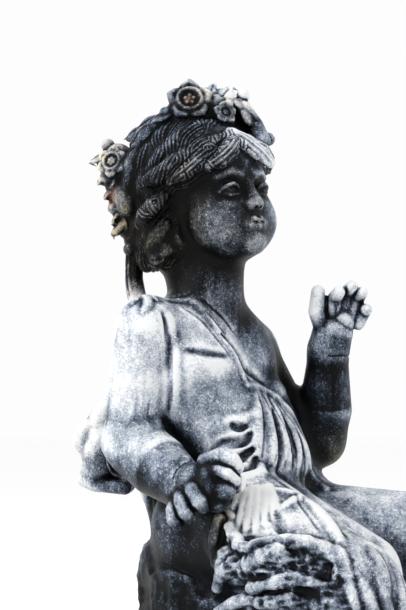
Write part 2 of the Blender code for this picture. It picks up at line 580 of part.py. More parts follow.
def one_skin(mesh, voxel):
    """One closed skin round everything in the mesh."""
    rough = bpy.data.objects.new("clay", mesh)
    bpy.context.scene.collection.objects.link(rough)
    remesh = rough.modifiers.new("one_skin", "REMESH")
    remesh.mode = "VOXEL"
    remesh.voxel_size = voxel
    seen = bpy.context.evaluated_depsgraph_get()
    skin = bpy.data.meshes.new_from_object(rough.evaluated_get(seen))
    bpy.data.objects.remove(rough)
    return skin


def points_of(mesh):
    flat = np.empty(len(mesh.vertices) * 3, np.float32)
    mesh.vertices.foreach_get("co", flat)
    return flat.reshape(-1, 3).astype(float)


def set_points(mesh, points):
    mesh.vertices.foreach_set("co", points.astype(np.float32).ravel())
    mesh.update()


def value_noise(points, size):
    """Smooth random values from -1 to 1, with this distance between their knots."""
    grid = points / size
    cell = np.floor(grid)
    part = grid - cell
    part = part * part * (3 - 2 * part)
    total = np.zeros(len(points))
    for corner in product((0, 1), repeat=3):
        mixed = np.sin((cell + corner) @ np.array([127.1, 311.7, 74.7])) * 43758.5453
        total += (mixed - np.floor(mixed)) * np.prod(np.where(np.array(corner) == 1, part, 1 - part), axis=1)
    return total * 2 - 1


def roughen_rock(points, stone, rest):
    """Breaks up the rock's surface where nothing else covers it."""
    own = clay_depth(points, stone, felt_by(points, stone))
    other = clay_depth(points, rest, felt_by(points, rest))
    bare = np.clip((other - own - 3) / 12, 0, 1)
    live = np.nonzero(bare > 0)[0]
    spots = points[live]
    swell = value_noise(spots, 46) * 9 + 4 - 12 * np.abs(value_noise(spots + 900, 24))
    out = spots - np.array([0, 60, 100.0])
    points[live] += out / np.linalg.norm(out, axis=1, keepdims=True) * (swell * bare[live])[:, None]
    return points


def cut_flat(bm, height):
    """Cuts everything below a level plane away and closes the cut."""
    everything = bm.verts[:] + bm.edges[:] + bm.faces[:]
    bmesh.ops.bisect_plane(bm, geom=everything, plane_co=(0, 0, height), plane_no=(0, 0, 1), clear_inner=True)
    bmesh.ops.holes_fill(bm, edges=[e for e in bm.edges if e.is_boundary], sides=0)


def lead(name, colour):
    material = bpy.data.materials.new(name)
    material.use_nodes = True
    shader = material.node_tree.nodes["Principled BSDF"]
    shader.inputs["Base Color"].default_value = colour
    shader.inputs["Metallic"].default_value = 0.35
    shader.inputs["Roughness"].default_value = 0.6
    return material


def make_casting(parts):
    stone = rock()
    body = torso() + legs() + arms() + hands()
    skull = head()
    rest = body + skull + garment(body) + hair(skull) + wreath()
    forms = stone + rest
    skin = one_skin(rough_mesh(forms), ROUGH_VOXEL)
    set_points(skin, melt(points_of(skin), forms, steps=3))
    skin = one_skin(skin, FINE_VOXEL)
    set_points(skin, roughen_rock(melt(points_of(skin), forms, steps=2), stone, rest))
    bm = bmesh.new()
    bm.from_mesh(skin)
    cut_flat(bm, 0.0)
    bmesh.ops.triangulate(bm, faces=bm.faces[:])
    bm.transform(Matrix.Scale(SHARE, 4))
    faces = len(bm.faces)
    mesh = bpy.data.meshes.new("girl_casting")
    bm.to_mesh(mesh)
    bm.free()
    mesh.shade_smooth()
    casting = bpy.data.objects.new("girl_on_rock", mesh)
    casting.location.z = BASE_HEIGHT + BED_GAP
    thinned = casting.modifiers.new("fewer_faces", "DECIMATE")
    thinned.ratio = FACES_KEPT / faces
    mesh.materials.append(lead("weathered_lead", LEAD_COLOUR))
    parts.objects.link(casting)


def make_base(parts):
    bm = bmesh.new()
    size = Matrix.Diagonal((BASE_WIDTH, BASE_LENGTH, BASE_HEIGHT, 1))
    bmesh.ops.create_cube(bm, size=1, matrix=Matrix.Translation((0, 0, BASE_HEIGHT / 2)) @ size)
    upright = [e for e in bm.edges if abs(e.verts[0].co.z - e.verts[1].co.z) > BASE_HEIGHT / 2]
    bmesh.ops.bevel(bm, geom=upright, offset=BASE_CORNER, segments=6, profile=0.5, affect="EDGES")
    rim = [e for e in bm.edges if all(v.co.z > BASE_HEIGHT * 0.99 for v in e.verts)]
    bmesh.ops.bevel(bm, geom=rim, offset=BASE_BEVEL, segments=2, profile=0.5, affect="EDGES")
    mesh = bpy.data.meshes.new("base_slab")
    bm.to_mesh(mesh)
    bm.free()
    mesh.materials.append(lead("base_lead", BASE_COLOUR))
    parts.objects.link(bpy.data.objects.new("low_base", mesh))


def main():
    for old in list(bpy.data.objects):
        bpy.data.objects.remove(old)
    parts = bpy.data.collections.new("lead_girl_statue")
    bpy.context.scene.collection.children.link(parts)
    make_base(parts)
    make_casting(parts)


main()
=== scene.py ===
import math
from itertools import product

import bmesh
import bpy
import numpy as np
from mathutils import Matrix, Vector


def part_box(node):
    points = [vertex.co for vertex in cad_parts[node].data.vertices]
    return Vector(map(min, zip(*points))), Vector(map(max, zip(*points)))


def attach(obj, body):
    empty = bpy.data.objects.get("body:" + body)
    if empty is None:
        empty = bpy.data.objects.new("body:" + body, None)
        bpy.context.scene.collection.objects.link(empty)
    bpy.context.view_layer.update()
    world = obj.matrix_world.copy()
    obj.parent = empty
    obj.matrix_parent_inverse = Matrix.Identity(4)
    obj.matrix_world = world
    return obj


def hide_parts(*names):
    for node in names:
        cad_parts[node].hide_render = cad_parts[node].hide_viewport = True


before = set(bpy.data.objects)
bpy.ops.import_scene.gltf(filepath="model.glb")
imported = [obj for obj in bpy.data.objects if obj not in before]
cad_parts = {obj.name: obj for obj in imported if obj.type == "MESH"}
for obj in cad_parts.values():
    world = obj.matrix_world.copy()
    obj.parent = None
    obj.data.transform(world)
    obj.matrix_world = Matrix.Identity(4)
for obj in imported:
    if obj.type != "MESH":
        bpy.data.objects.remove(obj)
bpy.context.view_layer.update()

girl = {
    "mm": 0.001,            # metres in one figure unit
    "baseTop": 0.0353,      # height of the casting's underside
    "roughMm": 3.2,         # first joining of the clay
    "fineMm": 1.35,         # last joining, fine enough for strands and lids
    "betweenShare": 1.6,    # the joining before it, as a share of the last one
    "faces": 192000,        # triangles that are kept of the last joining
    "feltMm": 10.0,         # how far past its blend a form is still felt
    "cellMm": 16.0,         # points are sorted into cells of this size
    "hairFromMm": 525,      # no hair below this height
}


def bodyFrame(origin, turn=0.0, nod=0.0, lean=0.0):
    spin = Matrix.Rotation(math.radians(turn), 4, "Z") @ Matrix.Rotation(math.radians(nod), 4, "X")
    return Matrix.Translation(origin) @ spin @ Matrix.Rotation(math.radians(lean), 4, "Y")


world = Matrix.Identity(4)
chestFrame = bodyFrame((-19, 117, 489), turn=-17, lean=10)
headFrame = bodyFrame((-10, 105, 653), turn=-14, nod=-8, lean=-6)


def onHead(x, y, z):
    return tuple(headFrame @ Vector((x, y, z)))


pose = {
    "neck": (-12, 109, 538),
    "shoulderR": (-93, 137, 498), "elbowR": (-93, 157, 366), "wristR": (-128, 57, 320),
    "shoulderL": (60, 94, 478), "elbowL": (104, 22, 368), "wristL": (84, -3, 476),
    "hipR": (-50, 86, 272), "kneeR": (-74, -109, 225), "ankleR": (-68, -126, 58),
    "hipL": (53, 83, 264), "kneeL": (109, -132, 261), "ankleL": (98, -98, 98),
}


# Clay: eggs and rolls that join softly into one surface
def egg(centre, radii, within=world, blend=10, cut=False, less=()):
    radii = (radii,) * 3 if isinstance(radii, (int, float)) else radii
    return {"shape": "egg", "at": within @ Vector(centre), "radii": radii, "turn": within.to_3x3(),
            "blend": blend, "cut": cut, "less": less}


def roll(points, radii, within=world, blend=10, cut=False, thin=None, less=()):
    path = [within @ Vector(p) for p in points]
    radii = [radii] * len(path) if isinstance(radii, (int, float)) else radii
    if thin:
        thin = ((within.to_3x3() @ Vector(thin[0])).normalized(), thin[1])
    return {"shape": "roll", "path": path, "radii": radii, "thin": thin,
            "blend": blend, "cut": cut, "less": less}


def eggDistance(points, form):
    local = (points - np.array(form["at"])) @ np.array(form["turn"]) / np.array(form["radii"])
    near = np.linalg.norm(local, axis=1)
    return near * (near - 1.0) / np.maximum(np.linalg.norm(local / np.array(form["radii"]), axis=1), 1e-9)


def rollDistance(points, form):
    found = np.full(len(points), 1e9)
    path = [np.array(p) for p in form["path"]]
    for start, end, r0, r1 in zip(path, path[1:], form["radii"], form["radii"][1:]):
        along = end - start
        share = np.clip((points - start) @ along / (along @ along), 0, 1)
        off = points - start - share[:, None] * along
        if form["thin"]:
            way = np.array(form["thin"][0])
            off = off + (off @ way)[:, None] * way * (1.0 / form["thin"][1] - 1.0)
        found = np.minimum(found, np.linalg.norm(off, axis=1) - (r0 + (r1 - r0) * share))
    return found


def softly(first, second, k):
    mix = np.clip(0.5 + 0.5 * (first - second) / k, 0, 1)
    return first + (second - first) * mix - k * mix * (1 - mix)


def formDistance(points, form):
    own = eggDistance(points, form) if form["shape"] == "egg" else rollDistance(points, form)
    for other in form["less"]:
        own = -softly(-own, formDistance(points, other), other["blend"])
    return own


def feltBy(points, forms, reach=girl["feltMm"]):
    # points are sorted into cells, and each form asks only the cells near it
    size, side = girl["cellMm"], 1000
    cells = np.floor(points / size).astype(int) + side // 2
    keys, owner = np.unique(cells @ np.array([1, side, side * side]), return_inverse=True)
    order = np.argsort(owner, kind="stable")
    starts = np.searchsorted(owner[order], np.arange(len(keys) + 1))
    middles = np.stack([keys % side, keys // side % side, keys // (side * side)], axis=1) - (side - 1) / 2
    middles *= size
    halfDiagonal = size * 0.87
    near = []
    for form in forms:
        close = np.nonzero(formDistance(middles, form) < form["blend"] + reach + halfDiagonal)[0]
        near.append(np.concatenate([order[starts[i]:starts[i + 1]] for i in close]) if len(close) else close)
    return near


def clayDepth(points, forms, near):
    depth = np.full(len(points), 1e3)
    for form, spots in zip(forms, near):
        if not len(spots):
            continue
        own = formDistance(points[spots], form)
        if form["cut"]:
            depth[spots] = -softly(-depth[spots], own, form["blend"])
        else:
            depth[spots] = softly(depth[spots], own, form["blend"])
    return depth


def depthIn(points, forms, reach=girl["feltMm"]):
    return clayDepth(points, forms, feltBy(points, forms, reach))


def melt(points, forms, steps=3, level=0.0):
    # points slide along the slope of the clay's depth until they lie at this level
    near = feltBy(points, forms)
    nudge, longest = 0.25, 6.0
    for _ in range(steps):
        depth = clayDepth(points, forms, near)
        ways = [clayDepth(points + nudge * way, forms, near) - depth for way in np.eye(3)]
        slope = np.stack(ways, axis=1) / nudge
        move = -((depth - level) / np.maximum((slope**2).sum(1), 0.05))[:, None] * slope
        length = np.linalg.norm(move, axis=1, keepdims=True)
        points = points + move * np.minimum(1, longest / np.maximum(length, 1e-9))
    return points


def softCurve(points, pieces=4):
    points = [np.array(p, float) for p in points]
    ends = [2 * points[0] - points[1]] + points + [2 * points[-1] - points[-2]]
    found = []
    for a, b, c, d in zip(ends, ends[1:], ends[2:], ends[3:]):
        bend, twist = 2 * a - 5 * b + 4 * c - d, 3 * b - a - 3 * c + d
        for t in np.arange(pieces) / pieces:
            found.append(0.5 * (2 * b + (c - a) * t + bend * t**2 + twist * t**3))
    return np.array(found + [points[-1]])


def swelling(count, width, least):
    # radii that start and end thin and are full in the middle
    return [width * (least + (1 - least) * math.sin(math.pi * i / (count - 1)) ** 0.6) for i in range(count)]


def fold(points, width, over, sunk=0.35, within=world, blend=3, taper=0.35):
    # a roll that lies on what is under it
    path = softCurve([within @ Vector(p) for p in points])
    radii = swelling(len(path), width, taper)
    return roll([tuple(p) for p in melt(path, over, 6, level=-sunk * width)], radii, blend=blend)


def hollowed(points, width, over, deep):
    # a cut this deep along the surface it runs over
    path = softCurve(melt(np.array(points, float), over, 6, level=width - deep), 6)
    return roll([tuple(p) for p in path], swelling(len(path), width, 0.3), blend=4, cut=True)


def between(a, b, share):
    return tuple(x + (y - x) * share for x, y in zip(a, b))


# The body
def torso():
    p = pose
    return [
        egg((0, -2, -46), (77, 58, 76), chestFrame, blend=20),
        egg((0, 0, -6), (62, 42, 32), chestFrame, blend=20),
        roll([p["shoulderR"], (-14, 114, 500), (24, 100, 496), p["shoulderL"]], [33, 37, 38, 34], blend=22),
        roll([p["neck"], (-8, 110, 606)], [45, 42], blend=20),
        egg((0, -30, -40), (56, 32, 30), chestFrame, blend=26),
        egg((28, 84, 450), (40, 42, 56), blend=20),
        egg((0, 86, 385), (74, 64, 56), blend=26),
        egg((6, 70, 345), (80, 76, 58), blend=26),
        egg((0, 88, 293), (86, 72, 58), blend=26),
        egg((-42, 94, 270), (52, 58, 46), blend=20),
        egg((44, 100, 270), (52, 58, 46), blend=20),
    ]


def legs():
    p = pose
    toes = [
        roll([(x - 9 + 7 * i, y - 3 * (i == 1), z), (x - 10 + 8 * i, y - 13 + 3 * i, z - 2)], 8 - i, blend=2)
        for x, y, z in ((-78, -200, 17), (110, -176, 57))
        for i in range(4)
    ]
    return toes + [
        roll([p["hipR"], p["kneeR"]], [56, 46], blend=16),
        roll([p["kneeR"], (-72, -112, 150), p["ankleR"]], [44, 40, 25], blend=12),
        roll([p["ankleR"], (-68, -120, 32), (-74, -172, 26), (-77, -198, 22)], [24, 24, 20, 13], blend=8),
        roll([p["hipL"], p["kneeL"]], [60, 46], blend=16),
        roll([p["kneeL"], (106, -120, 185), p["ankleL"]], [43, 40, 25], blend=12),
        roll([p["ankleL"], (99, -96, 76), (106, -148, 66), (109, -174, 62)], [24, 24, 20, 13], blend=8),
    ]


def arms():
    p = pose
    return [
        roll([p["shoulderR"], (-93, 147, 432), p["elbowR"]], [36, 35, 33], blend=6),
        roll([p["elbowR"], (-109, 110, 343), p["wristR"]], [34, 35, 25], blend=12),
        roll([p["shoulderL"], (78, 64, 420), p["elbowL"]], [32, 27, 30], blend=10),
        roll([p["elbowL"], (100, 10, 405), p["wristL"]], [32, 32, 23], blend=12),
    ]


hands = {
    "fingersR": [
        ([(-135, 30, 350), (-134, 13, 356), (-130, 1, 352), (-123, -1, 345)], 9.5),
        ([(-139, 24, 341), (-142, 10, 341), (-140, 0, 338), (-132, -5, 331)], 7),
        ([(-144, 44, 328), (-159, 30, 321), (-160, 22, 311), (-149, 24, 304)], 8.5),
        ([(-146, 54, 318), (-162, 43, 309), (-162, 38, 299), (-151, 40, 292)], 8),
        ([(-144, 62, 309), (-159, 56, 300), (-160, 54, 290), (-151, 54, 284)], 7.5),
    ],
    "fingersL": [
        ([(72, -4, 492), (60, 0, 520), (55, -5, 543)], 9.5),
        ([(76, -14, 515), (69, -20, 536), (60, -30, 542)], 8.5),
        ([(83, -23, 518), (81, -30, 543), (70, -42, 549)], 8.5),
        ([(89, -31, 514), (89, -41, 537), (79, -51, 542)], 8),
        ([(94, -38, 506), (93, -48, 522), (83, -55, 522)], 7.5),
    ],
}


def handForms():
    p = pose
    forms = [
        roll([p["wristR"], (-137, 40, 326), (-137, 24, 333)], [25, 22, 16], blend=10),
        egg((-143, 22, 323), 14, blend=5),
        egg((-136, 9, 321), (14, 15, 12), blend=4),
        egg((-121, 0, 327), 10, blend=4),
        egg((-133, 18, 308), (13, 15, 11), blend=5),
        roll([p["wristL"], (83, -12, 496), (84, -22, 508)], [23, 22, 15], blend=10),
        egg((72, -4, 494), (13, 14, 20), blend=8),
    ]
    for path, radius in hands["fingersR"] + hands["fingersL"]:
        forms.append(roll(path, [radius] * (len(path) - 1) + [radius * 0.85], blend=2.2))
    backOfHand = Vector((-0.84, -0.54, 0.2))
    for path, radius in hands["fingersR"]:
        tip, before = Vector(path[-1]), Vector(path[-2])
        way = (tip - before).normalized()
        out = (backOfHand - way * way.dot(backOfHand)).normalized()
        nail = tip + way * radius * 0.3 + out * radius * 1.15
        forms.append(egg(tuple(nail), radius * 0.42, blend=2, cut=True))
    return forms


# The head: a calm child's face on ordinary proportions
face = {"eyeApart": 26, "eyeRadius": 12.5, "mouthWidth": 12, "cheekRadius": 27}


def skullForms():
    forms = [
        egg((0, 18, 28), (68, 83, 70), headFrame, blend=14),
        egg((0, -16, 36), (54, 52, 46), headFrame, blend=18),
        egg((0, -20, -20), (55, 50, 58), headFrame, blend=18),
        roll([(0, 34, -40), (-4, 30, -70)], [43, 43], headFrame, blend=20),
        egg((0, -42, -58), (32, 26, 20), headFrame, blend=16),
        egg((0, -58, -66), (13, 10, 11), headFrame, blend=12),
        roll([(0, -62, 0), (0, -73, -20)], [6, 7.5], headFrame, blend=10),
        egg((0, -64, -45), (16, 8, 9), headFrame, blend=8),
    ]
    x, r = face["eyeApart"], face["cheekRadius"]
    for side in (-1, 1):
        forms.append(egg((side * 30, -36, -36), (r, r - 2, r), headFrame, blend=18))
        forms.append(egg((side * x, -69, -2), (15, 9, 8), headFrame, blend=12, cut=True))
        forms.append(egg((side * 7, -70, -23), (5, 6, 5), headFrame, blend=5))
    return forms


def faceForms():
    forms = []
    x, w = face["eyeApart"], face["mouthWidth"]
    for s in (-1, 1):
        forms += [
            roll([(s * 12, -65, 14), (s * 24, -65, 18), (s * 38, -56, 13)], [1.5, 3, 2.5], headFrame,
                 blend=9),
            egg((s * x, -53, -3), face["eyeRadius"], headFrame, blend=2),
            roll([(s * 14, -63, -5), (s * 19, -66, 0), (s * 26, -67.5, 2.5), (s * 34, -63, 0),
                  (s * 39, -56, -5)], [1.4, 2.2, 2.4, 2.2, 1.4], headFrame, blend=2),
            roll([(s * 14, -63, -6), (s * 20, -64.5, -9.5), (s * 28, -64, -10.5), (s * 38, -56.5, -6)],
                 [1.2, 1.8, 1.8, 1.2], headFrame, blend=2.5),
            egg((s * 3.6, -75, -27.5), (1.9, 2.6, 1.8), headFrame, blend=1.5, cut=True),
        ]
    forms += [
        roll([(-w, -64, -43.5), (-w * 0.45, -70.5, -40), (0, -71.5, -41.2), (w * 0.45, -70.5, -40),
              (w, -64, -43.5)], [1.6, 3.3, 3.2, 3.3, 1.6], headFrame, blend=2.5),
        roll([(-w * 0.8, -65, -46.5), (0, -70.5, -48), (w * 0.8, -65, -46.5)], [2, 4, 2], headFrame,
             blend=2.5),
        roll([(-w - 1, -67, -44), (0, -76, -44.6), (w + 1, -67, -44)], 1.0, headFrame, blend=1.2, cut=True),
        roll([(0, -73, -31), (0, -74, -37)], [1.5, 2], headFrame, blend=3, cut=True),
    ]
    return forms


# Hair: a cap with a face opening, main locks lying on it, a forelock and a hanging lock
hair = {
    "strandMm": 4.4, "strandDepthMm": 1.5, "lockHeightMm": 2.4, "lockWidthMm": 11.0, "sinkMm": 0.4,
    "endHeight": 0.35,      # a lock's height at its ends, as a share
    "locksPerSide": 15, "browLocksPerSide": 6, "waves": 2.6,
    "edgeMm": 0.3, "edgeFadeMm": 1.2,   # how combing fades out where hair meets skin
}


def hairMasses():
    opening = egg((0, -60, -36), (112, 68, 62), headFrame, blend=4)
    forms = [
        egg((0, 24, 34), (77, 90, 74), headFrame, blend=2, less=(opening,)),
        egg((0, 78, -18), (56, 36, 44), headFrame, blend=16),
    ]
    for s in (-1, 1):
        forms.append(egg((s * 50, 32, -34), (30, 42, 42), headFrame, blend=16, less=(opening,)))
    return forms


def hairForms(under):
    sweeps = [
        ([(6, -68, 38), (30, -66, 32), (52, -48, 26), (68, -26, 14), (76, -2, 4)], 8),
        ([(6, -56, 58), (34, -52, 54), (58, -32, 42), (74, -6, 24), (78, 22, 12)], 8),
        ([(5, -38, 78), (40, -28, 76), (66, -4, 54), (78, 22, 34), (70, 56, 14)], 7),
        ([(4, -18, 94), (42, -6, 90), (68, 22, 62), (72, 56, 36), (56, 84, 14)], 8),
        ([(70, -8, 16), (78, 10, -2), (74, 30, -26), (58, 54, -50)], 8),
        ([(72, 0, -14), (74, 18, -40), (58, 44, -64)], 8),
        ([(10, 30, 106), (34, 70, 84), (34, 104, 44), (26, 112, 4), (14, 104, -44)], 8),
    ]
    forms = [
        fold([(s * x, y, z) for x, y, z in path], width, under, sunk=0.5, within=headFrame, blend=5)
        for path, width in sweeps
        for s in (-1, 1)
    ]
    curls = [
        ([(-8, -62, 62), (2, -72, 48), (14, -78, 36), (28, -80, 24)], [8, 9, 8, 6]),
        ([(14, -64, 52), (32, -66, 42), (48, -58, 34), (58, -46, 26)], [8, 9, 8, 5]),
        ([(-10, -62, 54), (-24, -68, 42), (-36, -64, 31), (-48, -54, 26)], [8, 9, 8, 5]),
        ([(-40, -52, 44), (-54, -44, 32), (-66, -30, 22), (-72, -16, 18)], [8, 9, 8, 5]),
        ([(-60, -30, 44), (-72, -16, 34), (-78, 0, 28), (-80, 16, 26)], [7, 9, 9, 7]),
        ([(-74, 0, 4), (-82, 10, -4), (-84, 24, -12), (-80, 40, -18)], [6, 9, 9, 6]),
        ([(-76, 4, -30), (-78, 18, -40), (-74, 34, -50)], [7, 9, 8]),
        ([(-70, 14, -54), (-74, 28, -62), (-68, 42, -68)], [8, 9, 7]),
        ([(-66, 48, -44), (-70, 52, -56), (-68, 54, -66)], [12, 11, 8]),
    ]
    forms += [roll(path, radii, headFrame, blend=6) for path, radii in curls]
    forms.append(roll([(-38, 176, 622), (-47, 182, 601), (-49, 186, 580), (-52, 184, 559), (-62, 172, 532)],
                      [18, 13, 10, 10, 11], blend=6))
    return forms


# Wreath: flowers, leaves and buds on a band over the crown and down behind the ears
def leaf(base, tip, width, up):
    middle = between(base, tip, 0.45)
    away = Vector(up).normalized()
    rib = [tuple(Vector(p) + away * width * h) for p, h in ((base, 0.24), (middle, 0.37), (tip, 0.16))]
    return [
        roll([base, middle, tip], [width * 0.6, width, width * 0.35], headFrame, blend=2, thin=(up, 0.36)),
        roll(rib, 1.3, headFrame, blend=2, cut=True),
    ]


def rosette(centre, facing, radius, petals=6):
    middle, out = Vector(centre), Vector(facing).normalized()
    side = out.orthogonal().normalized()
    rim = []
    for i in range(petals * 4 + 1):
        lobe = math.cos(math.tau * i / 4)
        way = Matrix.Rotation(math.tau * i / (petals * 4), 3, out) @ side
        rim.append(tuple(middle + way * radius * (0.72 + 0.11 * lobe) + out * radius * (0.18 + 0.07 * lobe)))
    forms = [
        roll([tuple(middle - out * radius * 0.4), centre], [radius * 0.4, radius * 0.68], headFrame, blend=4),
        egg(tuple(middle + out * radius * 0.75), radius * 0.56, headFrame, blend=3, cut=True),
        roll(rim, radius * 0.17, headFrame, blend=3),
    ]
    for i in range(petals + 1):
        way = Matrix.Rotation(math.tau * i / petals, 3, out) @ side * radius * (0.17 if i else 0)
        forms.append(egg(tuple(middle + way + out * radius * 0.24), radius * 0.12, headFrame, blend=1.5))
    return forms


wreath = {
    "band": [(8, -34, 99), (-39, 5, 102), (-66, 24, 82), (-76, 44, 52), (-72, 62, 20), (-58, 80, -16)],
    "farBand": [(8, -34, 99), (48, -4, 94), (70, 28, 68), (76, 50, 36), (66, 70, 2), (52, 84, -24)],
    "flowers": [   # middle, the way it faces, radius and petals
        ((-21, -16, 114), (-0.62, -0.72, 0.3), 28, 5), ((2, -46, 92), (-0.3, -1, 0.3), 15, 5),
        ((-84, 64, 62), (-1, -0.5, 0.2), 20, 6), ((72, 40, 62), (1, 0.1, 0.5), 18, 6),
        ((20, 116, 34), (0.2, 1, 0.4), 18, 6),
    ],
    "buds": [
        (40, -46, 117, 8), (58, -36, 94, 8), (57, -58, 60, 8), (-74, 80, 88, 8), (-58, 94, 84, 7),
        (60, 6, 96, 9), (46, 96, 46, 9), (-84, 78, 10, 7), (-76, 70, -42, 8), (-40, 106, 40, 9),
        (10, -48, 104, 6), (-46, 2, 106, 7),
    ],
    "leaves": [   # base, tip, width and the way its upper side faces
        ((-4, -24, 108), (8, -30, 132), 14, (-0.5, -0.8, 0.1)),
        ((8, -34, 108), (24, -42, 126), 14, (-0.6, -0.7, 0.4)),
        ((20, -44, 104), (40, -50, 108), 12, (0.1, -0.8, 0.6)),
        ((30, -48, 100), (40, -58, 72), 14, (0.3, -0.9, 0.3)),
        ((50, -36, 92), (66, -40, 76), 13, (0.7, -0.7, 0.4)),
        ((-46, 14, 104), (-62, 34, 96), 12, (-0.7, -0.3, 0.7)),
        ((-60, 34, 94), (-66, 56, 88), 11, (-0.8, 0, 0.6)),
        ((56, -36, 86), (62, -42, 66), 12, (0.8, -0.6, 0.1)),
        ((-36, 0, 106), (-60, 14, 98), 13, (-0.5, -0.2, 0.8)),
        ((-58, 14, 96), (-80, 34, 74), 12, (-0.8, -0.2, 0.5)),
        ((-62, 70, 40), (-88, 84, 26), 15, (-0.8, 0.3, 0.2)),
        ((-66, 76, 78), (-90, 96, 72), 15, (-0.8, 0.1, 0.6)),
        ((-68, 74, 46), (-94, 84, 44), 15, (-0.9, 0.3, 0.3)),
        ((-66, 72, -6), (-90, 80, -22), 14, (-0.9, 0.3, -0.1)),
        ((-60, 84, 60), (-62, 112, 62), 15, (-0.6, 0.3, 0.7)),
        ((-66, 74, 10), (-88, 78, -6), 13, (-0.8, 0.4, 0.1)),
        ((-30, 96, 50), (-14, 122, 56), 14, (0, 0.6, 0.7)),
        ((0, 108, 20), (-30, 120, 8), 14, (0, 1, 0.1)),
        ((50, 80, 40), (68, 88, 56), 14, (0.7, 0.6, 0.2)),
        ((66, 56, 30), (86, 54, 12), 13, (1, 0.2, 0.1)),
        ((54, -4, 92), (78, 10, 82), 13, (0.5, -0.4, 0.8)),
    ],
}


def wreathForms():
    forms = [roll(wreath[key], 10, headFrame, blend=6) for key in ("band", "farBand")]
    forms += [
        roll([(-26, -2, 108), (8, -26, 106), (38, -30, 98)], [15, 17, 14], headFrame, blend=8),
        roll([(34, -44, 98), (44, -50, 78), (40, -62, 56)], [13, 12, 11], headFrame, blend=6),
        egg((-68, 74, 58), (20, 26, 30), headFrame, blend=8),
        egg((-70, 72, 16), (18, 20, 30), headFrame, blend=8),
        egg((-64, 66, -28), (16, 18, 26), headFrame, blend=8),
        egg((0, 104, 30), (40, 16, 22), headFrame, blend=10),
    ]
    for flower in wreath["flowers"]:
        forms += rosette(*flower)
    forms += [egg((x, y, z), r, headFrame, blend=2) for x, y, z, r in wreath["buds"]]
    for one in wreath["leaves"]:
        forms += leaf(*one)
    return forms


# Clothes: a tunic pinned on the right shoulder, cloth over the right thigh and a bunch of it behind
def clothMasses():
    return [
        roll([(-53, 36, 284), (-74, -108, 222)], [62, 50], blend=5),
        roll([(5, 6, 282), (16, -88, 234)], [36, 32], blend=22),
        roll([(34, 44, 420), (60, 42, 362), (72, 26, 316)], [14, 22, 24], blend=22),
        roll([(-74, -116, 214), (-70, -134, 112)], [48, 42], blend=12),
        roll([(-108, 14, 262), (-112, -40, 246), (-108, -92, 232)], [30, 34, 34], blend=10,
             thin=((1, 0, 0), 0.4)),
        roll([(-10, -112, 216), (-16, -128, 120)], [36, 34], blend=18, thin=((0, 1, 0), 0.6)),
        roll([(20, 160, 470), (-8, 170, 392), (-20, 168, 312), (-22, 150, 262)], [20, 28, 28, 22], blend=22,
             thin=((0.3, 1, 0), 0.65)),
    ]


